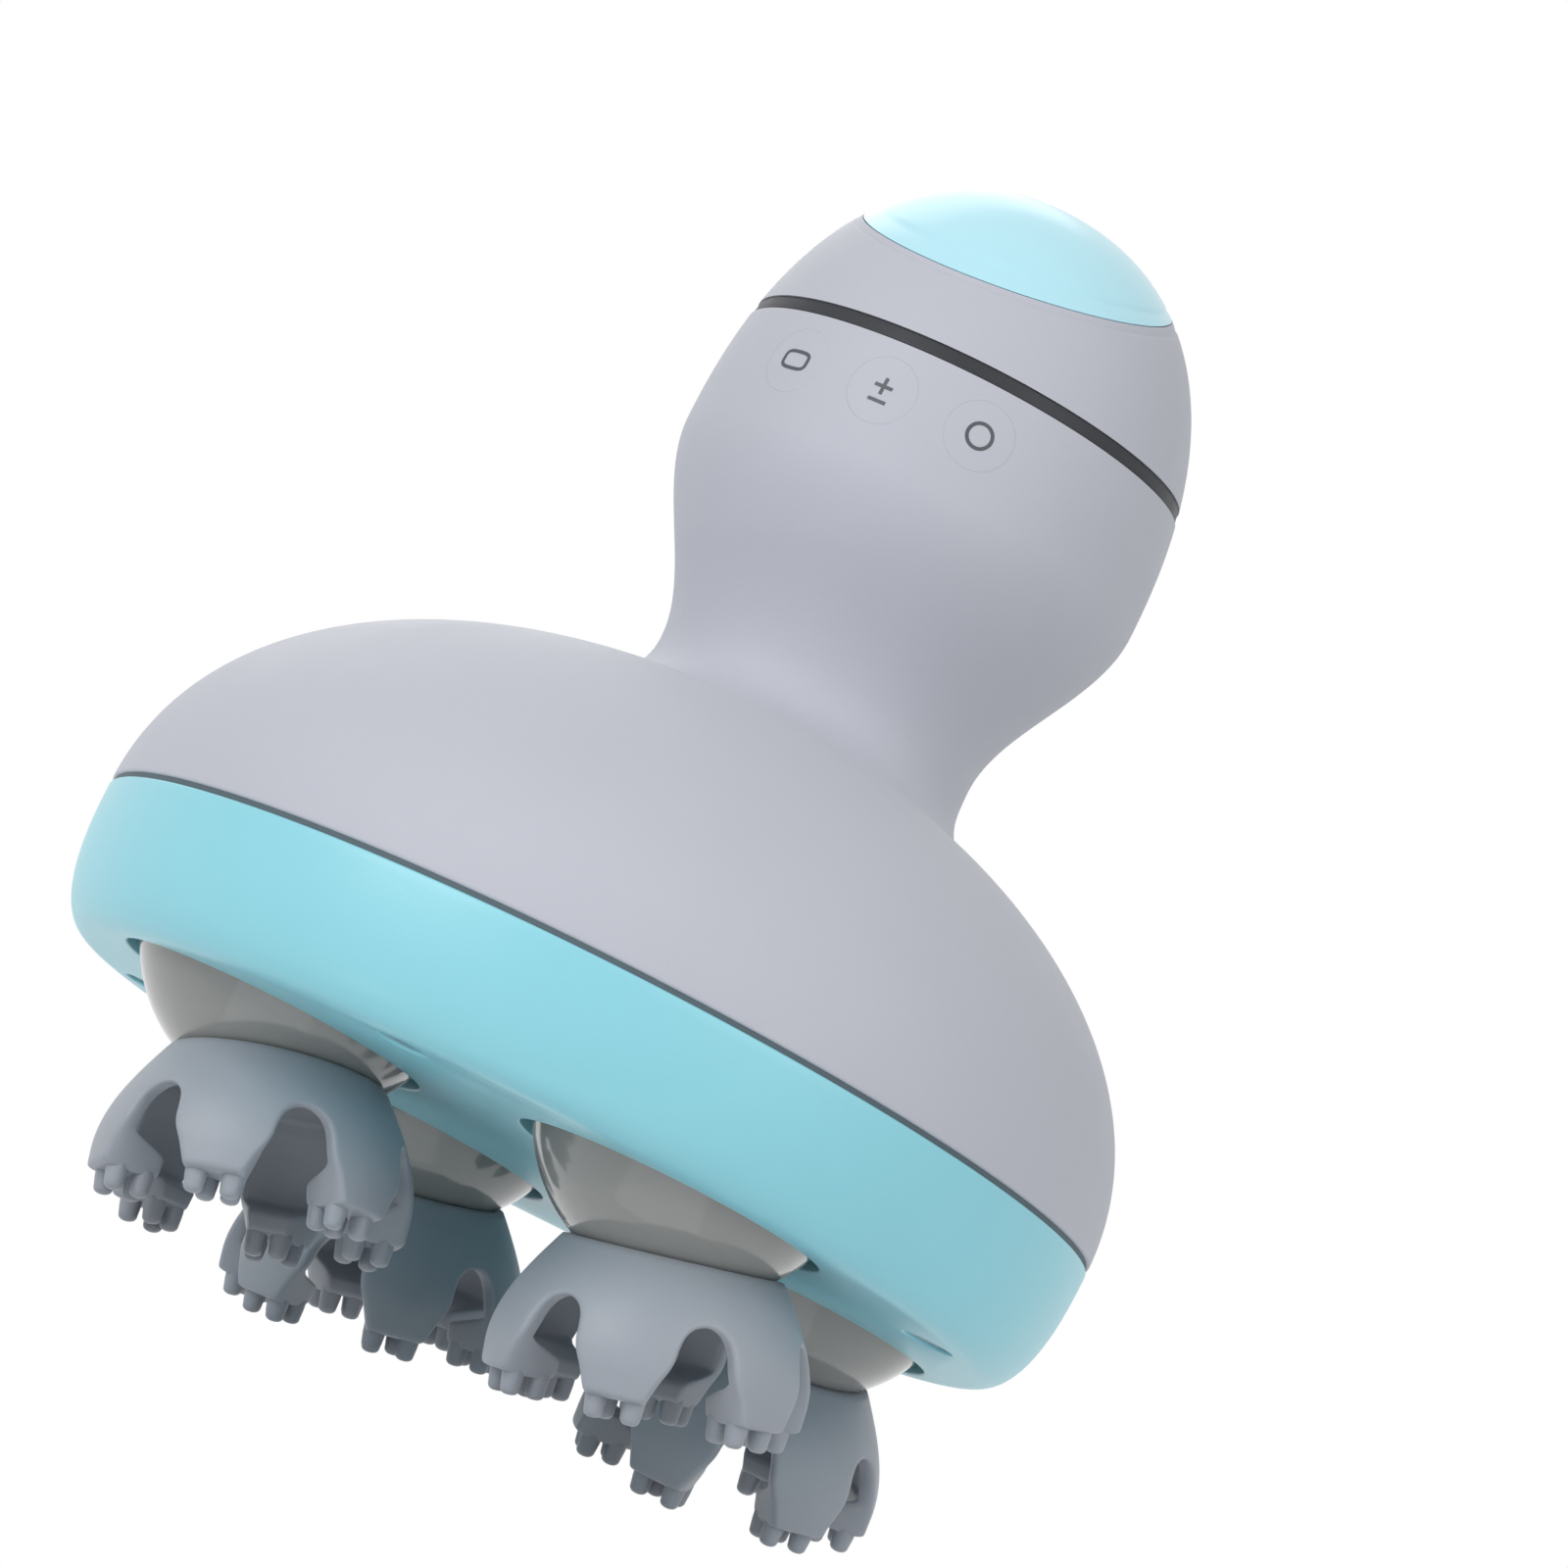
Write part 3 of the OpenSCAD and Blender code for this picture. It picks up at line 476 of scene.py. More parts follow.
@dataclass
class Graph:
    """A node tree with short calls to add and join nodes."""

    tree: bpy.types.NodeTree

    def node(self, kind: str, inputs: Inputs | None = None, **values: object) -> bpy.types.Node:
        """Adds a node, sets its properties and feeds its inputs.

        Args:
            kind: The node's type.
            inputs: What each input gets, by its name or its place.
            values: The node's properties.

        Returns:
            The node.
        """
        made = self.tree.nodes.new(kind)
        for name, value in values.items():
            setattr(made, name, value)
        self.feed(made, inputs or {})
        return made

    def feed(self, target: bpy.types.Node, inputs: Inputs) -> None:
        """Joins sockets to a node's inputs, and sets its other inputs to plain values.

        Args:
            target: The node.
            inputs: What each input gets, by its name or its place.
        """
        for name, value in inputs.items():
            if isinstance(value, Socket):
                self.tree.links.new(value, target.inputs[name])
            else:
                target.inputs[name].default_value = value

    def noise(self, point: Socket, size: float, detail: float) -> Socket:
        """Noise whose features are about size metres wide."""
        inputs = {"Vector": point, "Scale": 1.0 / size, "Detail": detail}
        return self.node("ShaderNodeTexNoise", inputs).outputs["Fac"]

    def span(
        self, value: Socket, of: tuple[float, float], to: tuple[float, float], way: str = "LINEAR"
    ) -> Socket:
        """Stretches a value from one span to another.

        Args:
            value: The value.
            of: Ends of the span that it comes from.
            to: Ends of the span that it goes to.
            way: How it runs between them.

        Returns:
            The stretched value.
        """
        inputs = {
            "Value": value, "From Min": of[0], "From Max": of[1], "To Min": to[0], "To Max": to[1],
        }
        return self.node("ShaderNodeMapRange", inputs, interpolation_type=way).outputs["Result"]

    def math(self, operation: str, first: object, second: object) -> Socket:
        """A sum, product or other operation on two values."""
        return self.node("ShaderNodeMath", {0: first, 1: second}, operation=operation).outputs[0]

    def most(self, *values: Socket) -> Socket:
        """The largest of three values."""
        return self.math("MAXIMUM", self.math("MAXIMUM", values[0], values[1]), values[2])

    def brighten(self, colour: Socket, factor: Socket) -> Socket:
        """A colour made lighter or darker by a factor."""
        return self.node("ShaderNodeHueSaturation", {"Color": colour, "Value": factor}).outputs[0]

    def finish(self, last: str, factor: Socket, first: Socket, second: Socket) -> None:
        """Mixes two shaders by a factor into the tree's last node."""
        mixed = self.node("ShaderNodeMixShader", {"Fac": factor, 1: first, 2: second})
        self.feed(self.tree.nodes[last], {"Surface": mixed.outputs[0]})


VALUE, COLOUR, POINT = "NodeSocketFloat", "NodeSocketColor", "NodeSocketVector"
NOISE_SPAN, WIPE_SPAN = (0.3, 0.7), (0.45, 0.75)
FLECK_TONE, TARNISH_TONE, LINE_ROUGHNESS = (-0.35, 0.35), (0.9, 1.05), (-0.08, 0.08)
CLOUD_SIZE, WIPE_SIZE, LINE_SIZE, TARNISH_SIZE = 0.016, 0.0045, 0.00025, 0.006
DRAWN_OUT = (0.12, 0.12, 1.0)


def skin_group(
    name: str, sizes: tuple[str, ...]
) -> tuple[Graph, bpy.types.bpy_prop_collection, bpy.types.Node]:
    """An empty shader group from a point and a colour to a colour, a roughness and a height.

    Args:
        name: Name of the group.
        sizes: Names of its inputs that are single values.

    Returns:
        Its graph, what comes in, and the node that takes what goes out.
    """
    tree = bpy.data.node_groups.new(name, "ShaderNodeTree")
    given = {"Point": POINT, "Colour": COLOUR, **dict.fromkeys(sizes, VALUE)}
    result = {"Colour": COLOUR, "Roughness": VALUE, "Height": VALUE}
    for direction, sockets in (("INPUT", given), ("OUTPUT", result)):
        for label, kind in sockets.items():
            tree.interface.new_socket(name=label, in_out=direction, socket_type=kind)
    graph = Graph(tree)
    return graph, graph.node("NodeGroupInput").outputs, graph.node("NodeGroupOutput")


@cache
def moulded_skin() -> bpy.types.NodeTree:
    """Group for moulded surfaces: fine grain, a soft unevenness and faint handling marks.

    Formula: clouds raise and lower the roughness and wipe marks lower it. Clouds and grain make
    the colour lighter and darker, and the grain is the height.

    Returns:
        The group.
    """
    graph, given, result = skin_group("moulded_skin", ("Grain", "Roughness", "Spread", "Tint"))
    point, spread = given["Point"], given["Spread"]
    scale = graph.math("DIVIDE", 1.0, given["Grain"])
    scaled = graph.node("ShaderNodeVectorMath", {0: point, "Scale": scale}, operation="SCALE")
    grain = graph.noise(scaled.outputs[0], 1.0, 3.0)
    clouds = graph.span(graph.noise(point, CLOUD_SIZE, 2.0), NOISE_SPAN, (-1.0, 1.0))
    wipe = graph.span(graph.noise(point, WIPE_SIZE, 4.0), WIPE_SPAN, (0.0, 1.0))
    fleck = graph.span(grain, NOISE_SPAN, FLECK_TONE)
    rough = graph.math("ADD", given["Roughness"], graph.math("MULTIPLY", clouds, spread))
    tone = graph.math("MULTIPLY", graph.math("ADD", clouds, fleck), given["Tint"])
    graph.feed(result, {
        "Colour": graph.brighten(given["Colour"], graph.math("ADD", tone, 1.0)),
        "Roughness": graph.math("SUBTRACT", rough, graph.math("MULTIPLY", wipe, spread)),
        "Height": grain,
    })
    return graph.tree


@cache
def drawn_metal() -> bpy.types.NodeTree:
    """Group for metal: fine lines along one direction and a soft tarnish.

    Formula: the lines are noise drawn out along Z. They raise and lower the roughness and are the
    height, and the tarnish makes the colour lighter and darker.

    Returns:
        The group.
    """
    graph, given, result = skin_group("drawn_metal", ("Roughness",))
    drawn = graph.node("ShaderNodeMapping", {"Vector": given["Point"], "Scale": DRAWN_OUT})
    lines = graph.noise(drawn.outputs[0], LINE_SIZE, 3.0)
    tarnish = graph.span(graph.noise(given["Point"], TARNISH_SIZE, 3.0), NOISE_SPAN, TARNISH_TONE)
    shift = graph.span(lines, NOISE_SPAN, LINE_ROUGHNESS)
    graph.feed(result, {
        "Colour": graph.brighten(given["Colour"], tarnish),
        "Roughness": graph.math("ADD", given["Roughness"], shift),
        "Height": lines,
    })
    return graph.tree


# ---------------------------------------------------------------- finishes


@dataclass(frozen=True)
class Finish:
    """A material: a colour, what varies over it and what its shader holds plainly."""

    name: str
    colour: tuple[float, float, float]
    roughness: float = 0.5
    grain: float = 0.0004
    bump: float = 0.08
    spread: float = 0.04
    tint: float = 0.02
    metal: bool = False
    shader: tuple[tuple[str, object], ...] = ()

    def build(self) -> bpy.types.Material:
        """Makes the material once and returns it from then on.

        Returns:
            The material.
        """
        label = f"{self.name}_finish"
        found = bpy.data.materials.get(label)
        if found:
            return found
        material = bpy.data.materials.new(label)
        material.use_nodes = True
        material.diffuse_color = linear(*self.colour)
        graph = Graph(material.node_tree)
        inputs = {
            "Point": graph.node("ShaderNodeTexCoord").outputs["Object"],
            "Colour": linear(*self.colour),
            "Roughness": self.roughness,
        }
        if not self.metal:
            inputs |= {"Grain": self.grain, "Spread": self.spread, "Tint": self.tint}
        tree = drawn_metal() if self.metal else moulded_skin()
        skin = graph.node("ShaderNodeGroup", node_tree=tree)
        graph.feed(skin, inputs)
        bump = {"Strength": self.bump, "Distance": self.grain / 2, "Height": skin.outputs["Height"]}
        graph.feed(material.node_tree.nodes["Principled BSDF"], {
            "Base Color": skin.outputs["Colour"],
            "Roughness": skin.outputs["Roughness"],
            "Normal": graph.node("ShaderNodeBump", bump).outputs["Normal"],
            "Metallic": float(self.metal),
            **dict(self.shader),
        })
        return material


class Finishes(Enum):
    """Every finish on the object, named for the record's material slots.

    After the colour stand the roughness, the grain's size in metres, the strength of its relief,
    how far the roughness varies, and how far the colour does.
    """

    SHELL_GREY = Finish(
        "shell_grey", (0.76, 0.77, 0.81), 0.60, 0.00035, 0.10, 0.05, 0.012,
        shader=(("Sheen Weight", 0.12), ("Sheen Roughness", 0.5), ("Specular IOR Level", 0.38)),
    )
    BUTTON_GREY = Finish(
        "button_grey", (0.76, 0.77, 0.81), 0.58, 0.0003, 0.10, 0.04, 0.012,
        shader=(("Sheen Weight", 0.12), ("Specular IOR Level", 0.38)),
    )
    TRIM_DARK = Finish(
        "trim_dark", (0.215, 0.22, 0.24), 0.5, 0.0003, 0.06, 0.05, 0.03,
        shader=(("Specular IOR Level", 0.25),),
    )
    INLAY_ICE = Finish(
        "inlay_ice", (0.74, 0.94, 0.99), 0.30, 0.0005, 0.03, 0.02, 0.006,
        shader=(("Coat Weight", 0.25), ("Coat Roughness", 0.2)),
    )
    BASE_BLUE = Finish(
        "base_blue", (0.575, 0.855, 0.91), 0.36, 0.0004, 0.06, 0.02, 0.008,
        shader=(("Coat Weight", 0.12), ("Coat Roughness", 0.3)),
    )
    SEAL_RUBBER = Finish("seal_rubber", (0.33, 0.39, 0.42), 0.7, 0.0003, 0.12, 0.06, 0.05)
    POD_GREY = Finish(
        "pod_grey", (0.58, 0.58, 0.57), 0.15, 0.0008, 0.02, 0.03, 0.015,
        shader=(("Coat Weight", 0.5), ("Coat Roughness", 0.06)),
    )
    SILICONE = Finish(
        "silicone", (0.625, 0.645, 0.68), 0.47, 0.0003, 0.10, 0.06, 0.02,
        shader=(("Subsurface Weight", 0.12), ("Subsurface Scale", 0.002),
                ("Subsurface Radius", (1.0, 0.9, 0.8)), ("Sheen Weight", 0.08)),
    )
    MARK_INK = Finish("mark_ink", (0.30, 0.31, 0.34), 0.5, 0.0002, 0.05, 0.05, 0.08)
    NATURAL_PLASTIC = Finish("natural_plastic", (0.86, 0.86, 0.83), 0.45, 0.0005, 0.08, 0.06, 0.02)
    GEAR_PLASTIC = Finish(
        "gear_plastic", (0.88, 0.86, 0.79), 0.36, 0.0004, 0.05, 0.06, 0.02,
        shader=(("Subsurface Weight", 0.08), ("Subsurface Scale", 0.002)),
    )
    DARK_PLASTIC = Finish("dark_plastic", (0.12, 0.12, 0.13), 0.5, 0.0004, 0.1, 0.06, 0.06)
    LEAD_RED = Finish("lead_red", (0.68, 0.12, 0.12), 0.42, 0.0003, 0.06, 0.05, 0.04)
    BATTERY_WRAP = Finish("battery_wrap", (0.27, 0.49, 0.68), 0.30, 0.0012, 0.10, 0.06, 0.04)
    BOARD_GREEN = Finish("board_green", (0.08, 0.34, 0.22), 0.35, 0.0007, 0.10, 0.06, 0.08)
    STEEL = Finish("steel", (0.72, 0.73, 0.75), 0.30, 0.0004, 0.05, metal=True)
    MOTOR_STEEL = Finish("motor_steel", (0.66, 0.67, 0.69), 0.38, 0.0004, 0.06, metal=True)
    BRONZE = Finish("bronze", (0.78, 0.62, 0.36), 0.42, 0.0004, 0.08, metal=True)

    @property
    def slot(self) -> str:
        """The record's material slot, where the marks' ink goes with the dark trim."""
        return "trim_dark" if self is Finishes.MARK_INK else self.value.name


def dress(target: bpy.types.Object, finish: Finishes) -> None:
    """Gives an object one finish in all its material slots.

    Args:
        target: The object.
        finish: The finish.
    """
    material = finish.value.build()
    if not target.data.materials:
        target.data.materials.append(material)
    for held in target.material_slots:
        held.material = material


def place(made: bpy.types.Object, body: str, finish: Finishes, *nodes: str) -> None:
    """Dresses a new piece, lets it ride on a body and stand for CAD nodes, and reports it.

    Args:
        made: The piece.
        body: Name of the body that it moves with.
        finish: Its finish.
        nodes: Names of the CAD nodes that it stands for.
    """
    dress(made, finish)
    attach(made, body)
    if nodes:
        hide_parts(*nodes)
    faces = len(made.data.polygons)
    LOG.info("%s: %d faces, rides on %s, stands for %s", made.name, faces, body, nodes or "none")


# ---------------------------------------------------------------- casing


@dataclass
class BodyShell:
    """One-piece shell: the dome, the neck that grows out of it and the handle up to the trim ring.

    The rows are points of its outline over the dome, the fillet and the neck. The cutters reach
    hole_in inside the bulge and hole_out beyond it, and are turned by hole_turn about their own
    axes, so that none of their corners meets a column of the shell.
    """

    datum: Datum
    dome: Dome
    handle: Handle
    wall: float = 2.2
    seam_half: float = 0.3
    edge: float = 0.35
    fillet_out: float = 9.0
    fillet_up: float = 8.0
    corner_guess: float = 35.0
    passes: int = 60
    slope_step: float = 0.01
    columns: int = 256
    dome_rows: int = 64
    fillet_rows: int = 18
    neck_rows: int = 42
    edge_rows: int = 6
    hole_columns: int = 96
    button_hole: float = 4.05
    disc_hole: float = 6.1
    disc_z: float = 69.4
    hole_in: float = 6.0
    hole_out: float = 4.0
    hole_turn: float = 1.7
    sharp: float = 30.0

    def build(self) -> None:
        """Outer and inner skins joined at the seam and at the ring, with the holes cut."""
        outer = self.skin(0.0, self.seam_half + self.edge)
        inner = self.skin(self.wall, self.seam_half)[::-1]
        rows = np.concatenate([inner[-1:], self.seam_lip(outer[0]), outer[1:], inner])
        made = piece("body_shell_skin", MeshParts().grid(self.datum.lift(rows)), self.sharp)
        cut(made, self.holes(), self.sharp)
        place(made, "housing", Finishes.SHELL_GREY, "body_shell")

    def skin(self, inset: float, foot: float) -> Array:
        """One surface of the shell, from its foot up to the ring, measured from the seam.

        Formula: in each upright plane through the handle's axis the dome's outline runs in to a
        quadratic curve, whose middle point is where the tangents of dome and neck cross, and which
        runs into the neck's outline.

        Args:
            inset: How far inside the outer surface.
            foot: Height of the lowest row.

        Returns:
            Points as rows, columns, 3.
        """
        turn, y0 = full_turn(self.columns), self.datum.handle_y
        ray = np.stack([np.cos(turn), np.sin(turn)], axis=-1)

        def dome_z(rho: Array) -> Array:
            """Height of the dome at a distance from the handle's axis."""
            return self.dome.z(np.hypot(rho * ray[:, 0], y0 + rho * ray[:, 1]), inset)

        def neck_rho(z: Array) -> Array:
            """Distance of the neck from the handle's axis at a height."""
            return self.handle.radius(z, inset)

        corner_z = np.full(self.columns, self.corner_guess)
        for _ in range(self.passes):
            corner_z = dome_z(neck_rho(corner_z))
        start, up = neck_rho(corner_z) + self.fillet_out, corner_z + self.fillet_up
        rim = self.dome.distance(foot, inset)
        reach = -y0 * ray[:, 1] + np.sqrt(rim**2 - (y0 * ray[:, 0]) ** 2)
        ease = np.sin(np.linspace(0, np.pi / 2, self.dome_rows))[:, None]
        rho_dome = start + (reach - start) * np.sqrt((1 - ease**2).clip(0))
        z_dome = dome_z(rho_dome)
        step = self.slope_step
        slope_dome = (dome_z(start + step) - dome_z(start - step)) / (2 * step)
        slope_neck = (neck_rho(up + step) - neck_rho(up - step)) / (2 * step)
        z_start, rho_up = dome_z(start), neck_rho(up)
        climb = slope_dome * (rho_up - start - slope_neck * up)
        z_mid = (z_start + climb) / (1 - slope_dome * slope_neck)
        rho_mid = rho_up + slope_neck * (z_mid - up)
        t = np.linspace(0, 1, self.fillet_rows)[1:, None]
        rho_fillet, z_fillet = (
            (1 - t) ** 2 * a + 2 * t * (1 - t) * b + t**2 * c
            for a, b, c in ((start, rho_mid, rho_up), (z_start, z_mid, up))
        )
        z_neck = up + (self.handle.ring_z - up) * np.linspace(0, 1, self.neck_rows)[1:, None]
        rho = np.concatenate([rho_dome, rho_fillet, neck_rho(z_neck)])
        z = np.concatenate([z_dome, z_fillet, z_neck])
        return np.stack([rho * ray[:, 0], y0 + rho * ray[:, 1], z], axis=-1)

    def seam_lip(self, rim: Array) -> Array:
        """Rows of the wall's rounded edge at the seam.

        Formula: a quarter circle, shrunk towards the head's axis.

        Args:
            rim: The outer skin's first row.

        Returns:
            Points as rows, columns, 3, from below up to that row.
        """
        over, up = superellipse(self.edge_rows)
        shrink = 1 - self.edge * (1 - up) / self.dome.radius
        flat = rim[None, :, :2] * shrink[:, None, None]
        rise = (self.seam_half + self.edge * (1 - over))[:, None, None]
        return np.concatenate([flat, np.broadcast_to(rise, (*flat.shape[:2], 1))], axis=-1)

    def holes(self) -> MeshParts:
        """Cutters for the three buttons and the charging disc.

        Formula: a drum about an upright axis has its Y and Z swapped, and so lies along -Y.

        Returns:
            The closed cutters.
        """
        parts = MeshParts()
        low, high = self.handle.bulge_r - self.hole_in, self.handle.bulge_r + self.hole_out
        buttons = [(press.value, self.handle.button_z, self.button_hole) for press in Press]
        for turn, height, radius in [*buttons, (180.0, self.disc_z, self.disc_hole)]:
            upright = revolve(drum(radius, low, high), self.hole_columns)
            lying = (upright @ rotation_z(self.hole_turn).T)[..., [0, 2, 1]] * np.array([1, -1, 1])
            parts.grid(self.datum.round_handle(lying + np.array([0, 0, height]), turn))
        return parts


@dataclass
class TrimRing:
    """Dark ring between the body shell and the top cap, set in a little."""

    datum: Datum
    handle: Handle
    depth: float = 2.3
    inset: float = 0.15
    edge: float = 0.2
    gap: float = 0.01
    columns: int = 256
    side_rows: int = 9
    edge_rows: int = 5

    def build(self) -> None:
        """The ring, on the housing."""
        made = piece("trim_ring_band", self.band())
        place(made, "housing", Finishes.TRIM_DARK, "trim_ring")

    def band(self) -> MeshParts:
        """A closed ring with rounded outer edges that follows the handle's outline.

        Returns:
            The closed surface.
        """
        low, high = self.handle.ring_z + self.gap, self.handle.cap_z - self.gap
        over, up = superellipse(self.edge_rows)
        side = np.linspace(low, high, self.side_rows)[2:-2]
        rise, fall = self.edge * (1 - over), self.edge * (1 - up)
        z = np.concatenate([low + rise, side, high - rise[::-1]])
        fade = np.concatenate([fall, np.zeros_like(side), fall[::-1]])
        radius = self.handle.radius(z) - self.inset - fade
        back = float(self.handle.radius(np.array([high]))[0]) - self.depth
        outside = np.stack([radius, z], axis=1)
        profile = join_rows([back, low], outside, [back, high], [back, low])
        return MeshParts().grid(self.datum.turned(profile, self.columns, self.datum.handle_y))


@dataclass
class TopCap:
    """Round top of the handle, and the oval inlay set flush in it.

    The seat is the pocket under the inlay. The spigot stands spigot_in inside the handle's
    surface, from spigot_up above the cap's foot to spigot_down below it.
    """

    datum: Datum
    handle: Handle
    tilt: float = 22.3
    edge_z: float = 102.8
    gap: float = 0.05
    edge: float = 0.22
    edge_share: float = 0.6
    thick: float = 2.8
    inlay_thick: float = 1.3
    seat_gap: float = 0.1
    spigot_in: float = 2.4
    spigot_wall: float = 1.8
    spigot_up: float = 2.0
    spigot_down: float = 5.8
    columns: int = 256
    rows: int = 60
    seat_rows: int = 24
    edge_rows: int = 6
    passes: int = 40
    sharp: float = 40.0

    def build(self) -> None:
        """The cap from the ring to the inlay's edge, and the inlay from there to the top."""
        made = piece("top_cap_skin", self.cap(), self.sharp)
        place(made, "housing", Finishes.SHELL_GREY, "top_cap")
        made = piece("cap_inlay_skin", self.inlay(), self.sharp)
        place(made, "housing", Finishes.INLAY_ICE, "cap_inlay")

    def rim(self, gap: float) -> Array:
        """Height where the handle's surface meets the inlay's slanted edge, round the axis.

        Formula: the slanted plane rises towards the back by the tangent of its tilt, and the height
        is found by halving the span between the bulge and the top again and again.

        Args:
            gap: Shift of the plane along Z.

        Returns:
            Heights above the seam, one for each column.
        """
        turn, slope = full_turn(self.columns), math.tan(math.radians(self.tilt))
        low = np.full(self.columns, self.handle.bulge_z)
        high = np.full(self.columns, self.handle.apex_z)
        for _ in range(self.passes):
            middle = (low + high) / 2
            plane = self.edge_z + gap + self.handle.radius(middle) * np.sin(turn) * slope
            below = middle < plane
            low, high = np.where(below, middle, low), np.where(below, high, middle)
        return (low + high) / 2

    def surface(self, start: Array, end: Array, rows: int, depth: Array | float = 0.0) -> Array:
        """Part of the handle's top between two rims.

        Formula: heights are spaced so that equal steps turn the superellipse by equal angles, and
        the depth is taken off along the outline's normal.

        Args:
            start: Height of the lower rim in each column.
            end: Height of the upper rim in each column.
            rows: Rows of the grid.
            depth: Depth below the surface, for each row.

        Returns:
            Points in the frame.
        """
        base, power = self.handle.bulge_z, self.handle.cap_power
        reach = self.handle.apex_z - base
        shares = (((z - base) / reach).clip(0, 1) for z in (start, end))
        first, last = (np.arcsin(share ** (power / 2)) for share in shares)
        sweep = first + (last - first) * np.linspace(0, 1, rows)[:, None]
        z = base + reach * np.sin(sweep) ** (2 / power)
        radius = self.handle.bulge_r * np.cos(sweep).clip(0) ** (2 / power)
        slope = np.gradient(radius, axis=0) / (np.gradient(z, axis=0) - NO_STEP)
        size = np.sqrt(1 + slope**2)
        radius, z = (radius - depth / size).clip(0), z + depth * slope / size
        turn = full_turn(self.columns)
        y = self.datum.handle_y + radius * np.sin(turn)
        return self.datum.lift(np.stack([radius * np.cos(turn), y, z], axis=-1))

    def cap(self) -> MeshParts:
        """The cap: its outside and the inlay's seat, then its inside and its spigot.

        Returns:
            The closed surface.
        """
        foot = np.full(self.columns, self.handle.cap_z)
        rim, apex = self.rim(-self.gap), np.full(self.columns, self.handle.apex_z)
        seat = self.inlay_thick + self.seat_gap
        outer = self.surface(foot, rim, self.rows, self.fall())
        ledge = self.surface(foot, rim, self.rows, seat)[-1:]
        floor = self.surface(rim, apex, self.seat_rows, seat)
        under = self.surface(foot, apex, self.rows, self.thick)[::-1]
        parts = MeshParts().grid(np.concatenate([outer, ledge, floor]))
        return parts.grid(np.concatenate([under, self.spigot(), outer[:1]]))

    def inlay(self) -> MeshParts:
        """The inlay: its outside, which falls off at the rim, and its back, both closed on top.

        Returns:
            The closed surface.
        """
        rim, apex = self.rim(self.gap), np.full(self.columns, self.handle.apex_z)
        top = self.surface(rim, apex, self.rows, self.fall()[::-1])
        top[-1] = top[-1].mean(axis=0)
        back = self.surface(rim, apex, self.rows, self.inlay_thick)[::-1]
        back[0] = back[0].mean(axis=0)
        return MeshParts().grid(np.concatenate([top, back, top[:1]]))

    def fall(self) -> Array:
        """Depth of each row: none, but for a rounded fall over the last few rows.

        Returns:
            The depths, as one column.
        """
        over, _ = superellipse(self.edge_rows)
        flat = np.zeros(self.rows - self.edge_rows)
        return np.concatenate([flat, self.edge * (1 - over[::-1]) * self.edge_share])[:, None]

    def spigot(self) -> Array:
        """The spigot that stands in the body shell, from the inside of the cap to its foot.

        Returns:
            Points as rows, columns, 3, in the frame.
        """
        foot = self.handle.cap_z
        outside = float(self.handle.radius(np.array([foot]))[0]) - self.spigot_in
        inside, tip = outside - self.spigot_wall, foot - self.spigot_down
        profile = [[inside, foot + self.spigot_up], [inside, tip], [outside, tip], [outside, foot]]
        return self.datum.turned(np.array(profile), self.columns, self.datum.handle_y)


